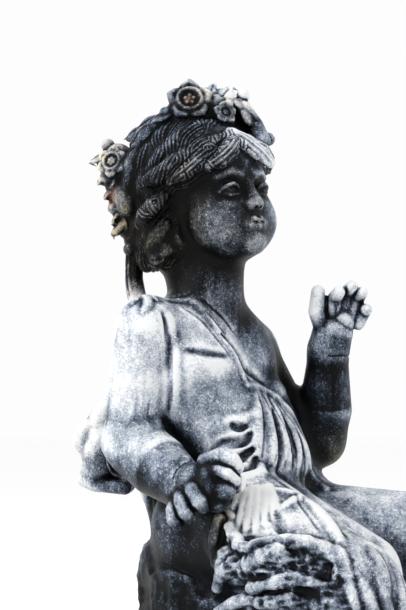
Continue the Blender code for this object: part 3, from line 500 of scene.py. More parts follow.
def clothFolds(under):
    folds = [   # hem from the shoulder to the gather, its end down the left side, and the armhole's edge
        fold([(-90, 128, 532), (-64, 99, 531), (-48, 74, 504), (-33, 52, 466), (-25, 39, 436)], 4, under,
             sunk=0.5, taper=0.8),
        fold([(-25, 39, 436), (-8, 38, 432), (6, 34, 426), (15, 30, 420), (24, 24, 412), (38, 18, 400),
              (46, 10, 378), (46, 0, 352), (54, -10, 330), (56, -16, 314)], 5, under, sunk=0.5, taper=0.8),
        fold([(-97, 96, 516), (-98, 94, 483), (-98, 94, 458), (-95, 95, 432), (-90, 100, 410)], 4, under,
             sunk=0.6, blend=5),
    ]
    swirls = [
        ([(-62, 48, 394), (-52, 36, 394), (-42, 30, 398), (-32, 28, 404)], 6),
        ([(-76, 54, 370), (-64, 38, 376), (-52, 26, 380), (-40, 22, 390)], 7.5),
        ([(-80, 46, 352), (-66, 31, 360), (-54, 20, 368), (-44, 18, 380)], 6.5),
        ([(-78, 30, 342), (-64, 19, 350), (-52, 13, 361)], 6),
        ([(-80, 12, 333), (-66, 4, 340), (-52, 4, 350)], 6),
        ([(-8, 37, 430), (-24, 28, 411), (-38, 22, 389), (-46, 16, 367), (-54, 8, 350), (-64, -2, 338)], 8),
        ([(2, 36, 427), (-14, 21, 404), (-24, 10, 380), (-32, 3, 358), (-42, -4, 338)], 7),
        ([(8, 30, 420), (0, 15, 400), (-11, 2, 373), (-17, -4, 340)], 7),
        ([(15, 26, 416), (20, 12, 393), (10, -2, 363), (4, -8, 335)], 7),
        ([(26, 20, 408), (32, 8, 382), (26, -2, 352), (24, -10, 322)], 7),
    ]
    folds += [fold(path, width, under, sunk=0.5, blend=6) for path, width in swirls]
    flutes = [
        [(-102, 10, 318), (-119, 8, 298), (-127, 9, 270)],
        [(-98, 3, 322), (-114, 0, 298), (-124, -1, 268)],
        [(-93, -1, 323), (-108, -8, 298), (-118, -10, 268)],
        [(-89, -6, 324), (-103, -15, 298), (-112, -20, 270)],
        [(-83, -12, 323), (-96, -21, 300), (-106, -30, 274)],
    ]
    folds += [fold(path, 4.6, under, sunk=0.2, blend=3, taper=0.7) for path in flutes]
    folds += [   # a turned layer on the lap, and the long seam over the knee
        fold([(-76, -14, 322), (-92, -28, 306), (-100, -38, 284)], 6, under, taper=0.6),
        fold([(-80, -20, 320), (-72, -32, 322), (-64, -46, 318), (-78, -44, 308), (-94, -38, 300)], 6, under),
        fold([(-58, -50, 318), (-70, -72, 306), (-86, -96, 288), (-100, -114, 270)], 9, under),
        fold([(-106, -112, 282), (-118, -124, 254), (-122, -134, 226), (-116, -140, 196)], 7, under),
        fold([(-84, -140, 272), (-92, -154, 246), (-94, -160, 214)], 8, under),
    ]
    for i in range(5):
        x = -108 + 19 * i
        folds.append(fold([(x, -132, 240), (x - 2, -156, 200), (x + 3, -160, 150), (x, -152, 112)], 9, under))
    for i in range(6):
        top = between((-84, 160, 508), (30, 136, 470), i / 5)
        waist = between((-60, 180, 400), (66, 130, 370), (i / 5) ** 1.2)
        seat = between((-60, 150, 280), (70, 130, 280), i / 5)
        folds.append(fold([top, between(top, waist, 0.6), waist, seat], 10, under, sunk=0.3))
    return folds


def clothHollows(under):
    deeps = [   # path, half width and depth
        ([(-106, 106, 516), (-103, 100, 483), (-103, 100, 460), (-101, 101, 434), (-93, 108, 400)], 3.2, 2.2),
        ([(-42, 66, 492), (-30, 56, 474), (-22, 48, 454), (-8, 46, 443), (6, 42, 434)], 3.4, 2.6),
        ([(-89, 89, 470), (-76, 76, 469), (-64, 65, 467), (-46, 57, 465)], 7, 2.5),
        ([(-61, 43, 389), (-58, 36, 385), (-52, 29, 387)], 4.5, 3.2),
        ([(-80, 60, 359), (-70, 50, 367), (-64, 37, 368), (-59, 28, 370), (-52, 24, 379)], 6, 4.2),
        ([(-78, 38, 349), (-64, 26, 354), (-55, 18, 362)], 4.5, 3.2),
        ([(-80, 22, 339), (-67, 14, 345), (-56, 12, 353)], 4, 3),
        ([(-6, 20, 406), (-16, 8, 384), (-24, 0, 360), (-32, -6, 338)], 3.5, 2.4),
        ([(8, 14, 392), (0, 2, 366), (-7, -7, 338)], 3.2, 2.2),
        ([(24, 6, 380), (15, -5, 352), (12, -12, 326)], 3.5, 2.4),
        ([(-104, -38, 300), (-118, -50, 288), (-121, -62, 280), (-124, -72, 266)], 8, 5.5),
    ]
    return [hollowed(path, width, under, deep) for path, width, deep in deeps]


def bunchForms():
    return [
        roll([(-116, 6, 242), (-112, -50, 236), (-100, -100, 232)], [22, 27, 24], blend=8),
        roll([(-124, 8, 282), (-131, -10, 266), (-132, -28, 254)], [5, 7, 6], blend=6),
        roll([(-136, -26, 246), (-139, -42, 256), (-133, -56, 259), (-125, -66, 251)], [9, 11, 10, 8],
             blend=6),
        roll([(-136, -12, 264), (-138, -28, 264), (-131, -44, 270)], [4, 6, 4], blend=5),
        roll([(-128, -42, 268), (-125, -62, 272), (-116, -82, 270), (-107, -98, 262), (-104, -112, 248)],
             [5, 7, 8, 7, 5], blend=6),
        roll([(-137, -28, 223), (-138, -56, 232), (-130, -82, 237), (-120, -102, 232), (-108, -116, 227)],
             [6, 8, 7, 8, 6], blend=5),
        roll([(-140, -36, 238), (-136, -52, 245), (-127, -72, 245)], [3, 5, 3], blend=4),
        roll([(-128, -80, 258), (-119, -94, 253), (-113, -108, 240)], [4, 5, 4], blend=4),
        roll([(-134, -36, 207), (-130, -66, 213), (-120, -94, 208), (-106, -114, 208)], [6, 8, 9, 7],
             blend=5),
        roll([(-128, 20, 218), (-137, 8, 236), (-137, -6, 247), (-136, -18, 238)], [6, 7, 7, 6], blend=5),
        roll([(-126, 20, 192), (-132, -4, 205), (-127, -26, 211), (-121, -44, 200)], [6, 7, 8, 5], blend=5),
        roll([(-119, 24, 290), (-121, 28, 268), (-118, 28, 242)], [5, 7, 6], blend=5),
        roll([(-132, -84, 252), (-122, -104, 246)], [13, 11], blend=5, cut=True),
        roll([(-149, -32, 235), (-146, -50, 240), (-138, -66, 246)], [4, 6, 4], blend=3, cut=True),
        egg((-146, -8, 256), 8, blend=4, cut=True),
        egg((-142, 2, 216), 8, blend=4, cut=True),
    ]


def claspForms(body):
    return [
        fold([(-112, 134, 540), (-110, 126, 532), (-113, 122, 523), (-118, 124, 512)], 6, body, sunk=0.2),
        fold([(-112, 133, 540), (-106, 124, 541), (-101, 114, 534)], 4.5, body, sunk=0.2),
        fold([(-112, 134, 538), (-116, 139, 531), (-117, 140, 522)], 4, body, sunk=0.2),
    ]


def mantleForms():
    return [
        roll([(84, 50, 306), (70, 128, 322), (20, 168, 340), (-30, 188, 368), (-46, 204, 400)],
             [20, 20, 18, 17, 12], blend=8),
        roll([(84, 56, 286), (66, 136, 296), (16, 170, 308), (-30, 186, 336)], [16, 16, 15, 14], blend=6),
        roll([(-50, 204, 424), (-60, 220, 404), (-66, 228, 384), (-68, 228, 360)], [10, 13, 16, 18], blend=8),
        roll([(-77, 236, 382), (-82, 242, 368), (-78, 238, 356)], [9, 10, 7], blend=4),
        roll([(-62, 216, 366), (-66, 226, 330)], [22, 22], blend=8),
        egg((-96, 186, 346), (22, 30, 20), blend=8, cut=True),
        roll([(-80, 238, 322), (-78, 214, 316), (-76, 180, 314)], [8, 8, 8], blend=4),
        roll([(-66, 230, 324), (-50, 200, 318)], [14, 14], blend=8),
    ]


def clothes(body):
    masses = clothMasses()
    under = body + masses
    return masses + clothFolds(under) + clothHollows(under) + bunchForms() + claspForms(body) + mantleForms()


def rockForms():
    level = egg((0, 100, 846), (600, 600, 600), blend=10)
    return [
        roll([(-6, 98, 50), (-6, 97, 200)], [102, 92], blend=12, less=(level,)),
        roll([(30, 20, 30), (26, 24, 170)], [96, 72], blend=16),
        roll([(66, 74, 60), (56, 78, 180)], [66, 56], blend=12),
        roll([(-82, 100, 238), (-56, 152, 240), (0, 178, 238), (54, 156, 238)], [10, 12, 12, 10], blend=5),
        egg((0, 60, 0), (148, 138, 40), blend=18),
        egg((0, -80, 0), (132, 124, 24), blend=14),
        egg((106, -136, 12), (44, 56, 40), blend=10),
        egg((-96, 60, 40), (40, 50, 44), blend=8),
    ]


# Joining the clay into one skin
def clayShapes(form):
    if form["shape"] == "egg":
        shape = bmesh.new()
        place = Matrix.Translation(form["at"]) @ form["turn"].to_4x4() @ Matrix.Diagonal((*form["radii"], 1))
        bmesh.ops.create_icosphere(shape, subdivisions=3, radius=1, matrix=place)
        return [shape]
    shapes = []
    squash = Matrix.Scale(form["thin"][1], 4, form["thin"][0]) if form["thin"] else Matrix.Identity(4)
    for spot, radius in zip(form["path"], form["radii"]):
        shapes.append(bmesh.new())
        place = Matrix.Translation(spot) @ squash
        bmesh.ops.create_icosphere(shapes[-1], subdivisions=2, radius=radius, matrix=place)
    for start, end, r0, r1 in zip(form["path"], form["path"][1:], form["radii"], form["radii"][1:]):
        way = end - start
        turn = way.to_track_quat("Z", "Y").to_matrix().to_4x4()
        place = Matrix.Translation((start + end) / 2) @ squash @ turn
        shapes.append(bmesh.new())
        bmesh.ops.create_cone(shapes[-1], cap_ends=True, segments=16, radius1=r0, radius2=r1,
                              depth=way.length, matrix=place)
    return shapes


def heapOf(forms):
    corners, faces = [], []   # every form's own small bmesh, gathered into one mesh
    for form in forms:
        for shape in [] if form["cut"] else clayShapes(form):
            first = len(corners)
            corners += [tuple(v.co) for v in shape.verts]
            faces += [[first + v.index for v in f.verts] for f in shape.faces]
            shape.free()
    heap = bpy.data.meshes.new("clayHeap")
    heap.from_pydata(corners, [], faces)
    return heap


def throughModifier(mesh, kind, settings):
    holder = bpy.data.objects.new("clayHolder", mesh)
    bpy.context.scene.collection.objects.link(holder)
    modifier = holder.modifiers.new("step", kind)
    for key, value in settings.items():
        setattr(modifier, key, value)
    seen = bpy.context.evaluated_depsgraph_get()
    result = bpy.data.meshes.new_from_object(holder.evaluated_get(seen))
    bpy.data.objects.remove(holder)
    bpy.data.meshes.remove(mesh)
    return result


def pointsOf(mesh, name="co"):
    flat = np.empty(len(mesh.vertices) * 3, np.float32)
    mesh.vertices.foreach_get(name, flat)
    return flat.reshape(-1, 3).astype(float)


def setPoints(mesh, points):
    mesh.vertices.foreach_set("co", points.astype(np.float32).ravel())
    mesh.update()


# Surface work: strands in the hair, creases in flesh and cloth, and breaks in the rock
def valueNoise(points, size):
    # soft lumps of this size between -1 and 1; the large odd numbers only shuffle the grid's corners
    grid = points / size
    cell = np.floor(grid)
    part = grid - cell
    part = part * part * (3 - 2 * part)
    total = np.zeros(len(points))
    for corner in product((0, 1), repeat=3):
        mixed = np.sin((cell + corner) @ np.array([127.1, 311.7, 74.7])) * 43758.5453
        weight = np.prod(np.where(np.array(corner) == 1, part, 1 - part), axis=1)
        total += (mixed - np.floor(mixed)) * weight
    return total * 2 - 1


def alongStroke(points, normals, path):
    # each point's distance from the path, how far it lies to one side, and its share of the way along
    best = np.full(len(points), 1e9)
    across, along = np.zeros(len(points)), np.zeros(len(points))
    travelled = 0.0
    for start, end in zip(path, path[1:]):
        way = end - start
        length = np.linalg.norm(way)
        share = np.clip((points - start) @ way / (length * length), 0, 1)
        off = points - start - share[:, None] * way
        far = np.linalg.norm(off, axis=1)
        side = np.cross(np.broadcast_to(way / length, normals.shape), normals)
        closer = far < best
        best = np.where(closer, far, best)
        across = np.where(closer, (off * side).sum(1), across)
        along = np.where(closer, travelled + share * length, along)
        travelled += length
    return best, across, along / travelled


def fadeAtEnds(along, steepness):
    return np.clip(np.minimum(along, 1 - along) * steepness, 0, 1)


def spotsNear(points, paths, widths, reach):
    rolls = [roll([tuple(p) for p in path], width, blend=0) for path, width in zip(paths, widths)]
    return feltBy(points, rolls, reach)


def combHair(points, normals, locks, where):
    # every lock is a low ridge with strands cut along it; where two meet, the higher one shows
    raised, groove = np.zeros(len(points)), np.zeros(len(points))
    near = spotsNear(points, *zip(*locks), reach=1)
    for (path, width), spots in zip(locks, near):
        spots = spots[where[spots] > 0]
        if not len(spots):
            continue
        far, across, along = alongStroke(points[spots], normals[spots], path)
        ends = fadeAtEnds(along, 7)
        ridge = np.clip(1 - (far / width) ** 2, 0, 1) ** 0.7
        height = hair["lockHeightMm"] * ridge * (hair["endHeight"] + (1 - hair["endHeight"]) * ends)
        wave = 0.5 + 0.5 * np.cos(math.tau * across / hair["strandMm"])
        higher = height > raised[spots]
        groove[spots] = np.where(higher, -hair["strandDepthMm"] * wave * ends, groove[spots])
        raised[spots] = np.where(higher, height, raised[spots])
    return points + normals * ((raised + groove - hair["sinkMm"]) * where)[:, None]


def crease(points, normals, strokes):
    paths, widths, _ = zip(*strokes)
    near = spotsNear(points, paths, [width * 2 for width in widths], reach=2)
    for (path, width, depth), spots in zip(strokes, near):
        if not len(spots):
            continue
        far, _, along = alongStroke(points[spots], normals[spots], path)
        cut = depth * np.exp(-((far / width) ** 2)) * fadeAtEnds(along, 6)
        points[spots] -= normals[spots] * cut[:, None]
    return points


def overHead(start, end, waves=0.0, phase=0.0, count=14):
    # a path round the head from start to end, waving sideways as it goes
    centre = Vector((0, 24, 34))
    a, b = Vector(start) - centre, Vector(end) - centre
    turn = a.rotation_difference(b)
    axis, angle = turn.to_axis_angle()
    path = []
    for i in range(count):
        share = i / (count - 1)
        way = Matrix.Rotation(angle * share, 3, axis) @ a
        way = way.normalized() * (a.length + (b.length - a.length) * share)
        sway = axis * waves * math.sin(math.tau * (hair["waves"] * share + phase)) * min(1, 3 * share)
        path.append(tuple(headFrame @ (centre + way + sway)))
    return path


def hairLocks(under):
    def line(points, share):
        spot = share * (len(points) - 1)
        i = min(int(spot), len(points) - 2)
        return between(points[i], points[i + 1], spot - i)

    locks = []
    width = hair["lockWidthMm"]
    for side in (-1, 1):
        crown = [(side * 2, -66, 42), (side * 2, -42, 82), (side * 3, 10, 108), (side * 4, 60, 100),
                 (side * 4, 96, 60)]
        hemLine = [(side * 70, -24, 10), (side * 76, -4, -6), (side * 72, 20, -34), (side * 54, 52, -64),
                   (side * 16, 98, -50)]
        browTop = [(side * 4, -68, 40), (side * 8, -52, 72)]
        browEnd = [(side * 66, -30, 14), (side * 72, -12, 12)]
        for i in range(hair["locksPerSide"]):
            share = i / (hair["locksPerSide"] - 1)
            locks.append((overHead(line(crown, share), line(hemLine, share), 4.0, 0.13 * i), width))
        for i in range(hair["browLocksPerSide"]):
            share = i / (hair["browLocksPerSide"] - 1)
            locks.append((overHead(line(browTop, share), line(browEnd, share), 2.5, 0.1 * i), width * 0.8))
    locks += [
        ([onHead(*p) for p in path], width)
        for path, width in (   # curls at the forehead, the temple and the nape
            ([(-8, -70, 64), (4, -82, 50), (16, -88, 38), (32, -90, 22)], 11),
            ([(14, -74, 54), (34, -76, 44), (52, -64, 34), (62, -50, 24)], 10),
            ([(-10, -72, 56), (-26, -78, 44), (-40, -70, 32), (-54, -58, 24)], 10),
            ([(-42, -60, 46), (-58, -50, 34), (-72, -34, 22), (-80, -16, 16)], 10),
            ([(-70, -18, 12), (-88, 0, 6), (-90, 12, 14), (-80, 20, 22)], 9),
            ([(-72, -8, -12), (-88, 6, -20), (-92, 20, -12), (-82, 28, -4)], 10),
            ([(-66, 16, -58), (-74, 34, -70), (-62, 46, -82)], 12),
            ([(-70, 46, -44), (-78, 50, -62), (-74, 52, -84)], 12),
        )
    ]
    locks.append(([(-46, 186, 622), (-56, 192, 601), (-58, 196, 580), (-60, 194, 559), (-70, 180, 532)], 14))
    return [(melt(softCurve(path, 3), under, 5), width) for path, width in locks]


def creases(under):
    fanRows = [((-12, 38, 430), (14, 30, 420)), ((-32, 16, 388), (24, 6, 376)),
               ((-58, 2, 344), (18, -8, 326))]
    fan = [[between(first, last, i / 4) for first, last in fanRows] for i in range(5)]
    lines = [   # path, half width and depth
        ([(-55, 84, 519), (-44, 72, 505), (-34, 65, 491)], 1.6, 1.2),
        ([(-55, 90, 533), (-44, 77, 519), (-30, 70, 506), (-17, 64, 490)], 1.6, 1.2),
        ([(-76, 106, 524), (-60, 84, 506), (-50, 68, 484), (-40, 56, 460)], 1.6, 1.0),
        ([(-84, 96, 470), (-70, 78, 468), (-54, 66, 466), (-40, 60, 466)], 4.0, 1.6),
        ([(-62, -34, 320), (-84, -62, 304), (-102, -92, 280)], 2.2, 1.6),
        ([(-48, -64, 312), (-68, -90, 298), (-90, -118, 274)], 2.2, 1.4),
        ([(-34, -40, 314), (-52, -84, 300), (-70, -120, 276)], 2.6, 1.4),
        ([(-114, 66, 352), (-126, 60, 338), (-136, 56, 322)], 1.5, 1.2),
        ([(70, -8, 470), (84, -20, 470), (98, -10, 468)], 1.5, 1.2),
    ]
    lines += [(path, 1.5, 1.2) for path in fan]
    return [(melt(softCurve(path), under, 5), width, depth) for path, width, depth in lines]


beaten = {
    "foldMm": 21, "foldHighMm": 4.4, "pleatMm": 10, "pleatHighMm": 2.2, "dentMm": 5, "dentHighMm": 0.8,
    "where": [((-138, -8, 254), (-116, -100, 238), 30, 1.0), ((-134, -36, 207), (-110, -110, 208), 22, 1.0)],
}


def crumple(points, normals):
    # the bunch beside the thigh is beaten into small sharp folds
    b = beaten
    much = np.clip(painted(points, b["where"]), 0, 1)
    high = b["foldHighMm"] * (0.42 - np.abs(valueNoise(points * (1, 1, 1.7), b["foldMm"])))
    high += b["pleatHighMm"] * (0.4 - np.abs(valueNoise(points * (1, 1, 1.4) + 300, b["pleatMm"])))
    high += b["dentHighMm"] * valueNoise(points, b["dentMm"])
    return points + normals * (high * much)[:, None]


brokenRock = {
    "lumpMm": 46, "lumpHighMm": 9, "cleftMm": 24, "cleftDeepMm": 12, "gritMm": 7, "gritHighMm": 1.6,
    "standMm": 4, "middle": (0, 60, 100), "freeMm": 3, "fadeMm": 12,
}


def breakRock(points, stone, rest):
    # lumps, sharp clefts and grit, away from whatever sits on the rock
    r = brokenRock
    free = depthIn(points, rest) - depthIn(points, stone)
    bare = np.clip((free - r["freeMm"]) / r["fadeMm"], 0, 1)
    live = np.nonzero(bare > 0)[0]
    spots = points[live]
    swell = r["lumpHighMm"] * valueNoise(spots, r["lumpMm"]) + r["standMm"]
    swell -= r["cleftDeepMm"] * np.abs(valueNoise(spots + 900, r["cleftMm"]))
    swell += r["gritHighMm"] * valueNoise(spots, r["gritMm"])
    out = spots - r["middle"]
    points[live] += out / np.linalg.norm(out, axis=1, keepdims=True) * (swell * bare[live])[:, None]
    return points


# Patina and painted shade: where rain has left a pale bloom, where dirt and rust have settled, where shade
# and shadow are painted darker, and how deep each hollow is
def painted(points, spots):
    total = np.zeros(len(points))
    for start, end, radius, amount in spots:
        a, b = np.array(start, float), np.array(end, float)
        way = b - a
        share = np.clip((points - a) @ way / max(way @ way, 1e-6), 0, 1)
        far = np.linalg.norm(points - a - share[:, None] * way, axis=1)
        total += amount * np.clip(1.35 - far / radius, 0, 1) ** 0.8
    return total


paintSpots = {   # from one point to another, with a radius in mm and how much is added there; in the first list some spots are painted shade and shadow, marked so
    "paleness": [
        (pose["shoulderR"], pose["elbowR"], 50, 0.20),                    # right upper arm
        (pose["elbowR"], pose["wristR"], 48, -0.14),                      # right forearm
        ((-116, 142, 518), (-96, 126, 524), 26, -0.36),                   # clasp
        (onHead(-84, 76, 60), onHead(-78, 76, 0), 30, 0.20),              # wreath's side
        ((-84, 10, 316), (-88, -90, 292), 50, 0.06),                      # lap
        ((-98, 0, 318), (-112, -16, 282), 26, 0.46),                      # fluted end
        ((-80, -150, 250), (-90, -150, 200), 44, -0.26),                  # knee
        (onHead(4, -28, 124), onHead(42, -46, 112), 22, 0.34),            # wreath's top
        (onHead(-21, -16, 114), onHead(-30, -26, 118), 24, 0.04),         # large flower
        (onHead(0, -66, 66), onHead(26, -76, 26), 20, 0.50),              # forelock
        (onHead(58, -38, 88), onHead(60, -46, 62), 20, -0.46),            # far leaves
        ((80, -22, 498), (84, -26, 512), 26, 0.10),                       # left palm
        ((-76, 232, 396), (-78, 226, 350), 26, 0.18),                     # mantle's end
        (onHead(0, 40, 20), onHead(0, -30, -40), 88, -0.44),              # head: dark patina, with painted shade on the face
        (onHead(0, 20, 56), onHead(0, 60, 0), 92, -0.72),                 # hair
        (onHead(-56, 40, -50), onHead(-60, 56, -70), 42, -0.34),          # nape curls
        (onHead(-66, -6, 0), onHead(-62, 0, -30), 36, -0.28),             # temple: painted shade
        (onHead(-48, -42, -30), onHead(-40, -56, -26), 30, -0.16),        # cheek: painted shade
        ((-10, 110, 560), (-8, 110, 606), 56, -0.84),                     # neck: painted shadow under the chin
        ((100, 14, 380), pose["wristL"], 38, -0.74),                      # left forearm: dark patina, with painted shade on the side away from the lamps
        ((104, 26, 362), (80, 60, 420), 44, -0.62),                       # left upper arm: dark patina, with painted shade on the side away from the lamps
        ((30, 70, 500), (50, 50, 440), 34, -0.66),                        # left breast: dark patina, with painted shade on the side away from the lamps
        ((-90, 110, 296), (-96, 90, 256), 62, -1.2),                      # painted shade under the hip
        ((-150, 60, 250), (-120, 60, 262), 40, -0.25),                    # painted shadow under the wrist
        ((-96, 186, 346), (-80, 190, 336), 32, -0.70),                    # painted shade in the mantle's roll
        ((-140, 34, 330), (-152, 46, 306), 30, -0.40),                    # right fingers
        ((-143, 20, 322), (-130, 8, 312), 20, -0.70),                     # bunch in the fist: painted shade
        ((-134, 44, 340), (-137, 12, 350), 22, -0.20),                    # top of the hand
        ((-138, -10, 256), (-124, -96, 240), 34, -0.26),                  # beaten cloth: painted shade in its folds
        ((-128, 10, 206), (-116, -90, 200), 34, -0.25),                   # its underside: painted shade
        ((60, 20, 316), pose["kneeL"], 50, -0.06),                        # left thigh
        ((-12, 38, 430), (-10, 0, 340), 34, -0.10),                       # fan of folds
    ],
    "warm": [
        (onHead(-78, 80, 60), onHead(-74, 76, -20), 46, 0.55),            # wreath's side
        (onHead(-21, -16, 114), onHead(-30, -26, 118), 22, 0.5),          # large flower
        (onHead(-8, -30, 100), onHead(20, -46, 92), 22, 0.35),            # small flower
        (onHead(-40, -44, 20), onHead(-20, -60, -40), 46, 0.4),           # face
        (onHead(-50, 40, -30), onHead(-60, 50, -70), 44, 0.8),            # nape curls
        ((-78, 232, 390), (-78, 226, 340), 30, 0.12),                     # mantle's end
        (onHead(-66, -6, 0), onHead(-62, 0, -30), 40, 0.55),              # temple
        (pose["neck"], (-8, 110, 600), 48, 0.45),                         # neck
        ((104, 12, 352), (104, 20, 346), 34, 1.0),                        # left elbow
        ((-119, 24, 290), (-118, 28, 242), 14, 0.6),                      # edge by the hip
        ((-84, 10, 316), (-92, -140, 276), 56, 0.05),                     # lap
    ],
    "rust": [
        (onHead(-32, -28, 119), onHead(-36, -32, 120), 9, 0.8),           # on a petal
        (onHead(-92, 72, 26), onHead(-90, 76, 20), 8, 0.8),               # on a leaf
        ((110, -2, 348), (108, 4, 342), 10, 0.4),                         # under the elbow
    ],
}
weatheringAndShade = {
    "paleness": 0.66,              # how pale the lead is where no spot says otherwise
    "upwardBloom": 0.12,        # more where a surface faces up
    "rockBloom": 0.64,          # less on bare rock
    "rockFadeMm": 8,
    # hollows are darkened with soot and with painted shade where nearby surfaces would shade them
    "hollowReachMm": (4, 14),   # how far out a surface looks for others that shade it
    "hollowFeltMm": 16,
    "hollowShare": 0.6,
    "fineShare": 1.3, "fineRounds": 3,       # ridges against their softened surroundings, paler for wear and as painted highlight, near
    "broadShare": 0.25, "broadRounds": 16,   # and wider
    "rockWearAndHighlight": 0.25,           # how much of that wear and painted highlight shows on the rock
    "dipShare": 0.4,            # dips count as hollows too, darkened with soot and painted shade
}


def patinaAndShadeOf(points, normals, forms, stone):
    w = weatheringAndShade
    bare = np.clip(1 - depthIn(points, stone, 4) / w["rockFadeMm"], 0, 1)
    # paleness is the lead's pale bloom, lowered by the spots marked as painted shade or shadow
    paleness = w["paleness"] + painted(points, paintSpots["paleness"])
    paleness += w["upwardBloom"] * normals[:, 2] - w["rockBloom"] * bare
    warm, rust = (np.clip(painted(points, paintSpots[kind]), 0, 1) for kind in ("warm", "rust"))
    near = feltBy(points, forms, w["hollowFeltMm"])
    # how closed in each point is: it darkens the surface as soot and as painted shade
    shadeAndSoot = np.zeros(len(points))
    for reach in w["hollowReachMm"]:
        clear = clayDepth(points + normals * reach, forms, near) / reach
        shadeAndSoot += w["hollowShare"] * np.clip(1 - clear, 0, 1)
    return np.clip(paleness, 0, 1.2), warm, rust, np.clip(shadeAndSoot, 0, 1), bare


def reliefOf(mesh, points, normals, rounds):
    # how far each point stands above (or below) its softened surroundings
    ends = np.empty(len(mesh.edges) * 2, np.int32)
    mesh.edges.foreach_get("vertices", ends)
    first, second = ends.reshape(-1, 2).T
    count = np.maximum(np.bincount(ends, minlength=len(points)), 1)[:, None]
    soft = points
    for _ in range(rounds):
        total = [np.bincount(first, soft[second, k], len(points))
                 + np.bincount(second, soft[first, k], len(points)) for k in range(3)]
        soft = 0.4 * soft + 0.6 * np.stack(total, 1) / count
    return ((points - soft) * normals).sum(1)


def linear(text):
    parts = [int(text[i:i + 2], 16) / 255 for i in (1, 3, 5)]
    return tuple(c / 12.92 if c <= 0.04045 else ((c + 0.055) / 1.055) ** 2.4 for c in parts) + (1.0,)


def addNode(tree, kind, inputs=None, **settings):
    # one node: settings are its own options, and an input is a number, a colour or another node's output
    made = tree.nodes.new("ShaderNode" + kind)
    for key, value in settings.items():
        setattr(made, key, value)
    for key, value in (inputs or {}).items():
        if isinstance(value, bpy.types.NodeSocket):
            tree.links.new(value, made.inputs[key])
        else:
            made.inputs[key].default_value = value
    shown = [o for o in made.outputs if o.enabled]
    return shown[0] if len(shown) == 1 else made


# Weathered sand-cast lead: dull blue-grey metal with a pale chalky bloom where rain reaches, soot and painted
# shade in the hollows, and ridges paler for wear and painted highlight. Specks and pits are drawn coarser
# than real ones, so that they show.
leadPatinaAndShade = {
    "tones": [(0.0, "#090a0c"), (0.2, "#1c2128"), (0.4, "#414a58"), (0.6, "#7c8694"), (0.8, "#b1b7bf"),
              (1.0, "#dfe1e2")],
    # the soot tone is also the painted shade in hollows
    "sootAndShade": "#0a0b0d", "earth": "#f0c882", "rust": "#87501c",
    "noises": {   # size in mm, detail, roughness, swirl, and how much it changes the paleness
        "blotch": (26, 4, 0.55, 0.0, 0.6), "streak": (9, 4, 0.6, 0.0, 0.45),
        "grain": (4.5, 5, 0.7, 1.4, 0.85), "speck": (2.2, 3, 0.7, 1.4, 0.8),
        "pit": (1.2, 2, 0.5, 0.0, 0.0),
    },
    "streakStretch": 0.3,   # runs are longer up and down
    "shadeAndSootPaleness": -0.22, "wearAndHighlightPaleness": 0.34,
    "ranges": {   # where each mask begins, where it is full, and how strong it is there
        "flecks": (0.56, 0.63, 0.24), "clumps": (0.44, 0.60, 1.0), "loam": (0.65, 1.05, 1.0),
        "stain": (0.40, 0.62, 1.0), "shadeAndGrime": (0.45, 1.1, 0.8), "chalk": (0.45, 0.9, 1.0),
    },
    "roughness": 0.30, "speckRoughness": 0.30, "chalkRoughness": 0.25, "metallic": 0.5, "specular": 0.15,
    "pitDepthMm": 0.4, "speckRelief": 1.5, "bumpStrength": 0.55,
}


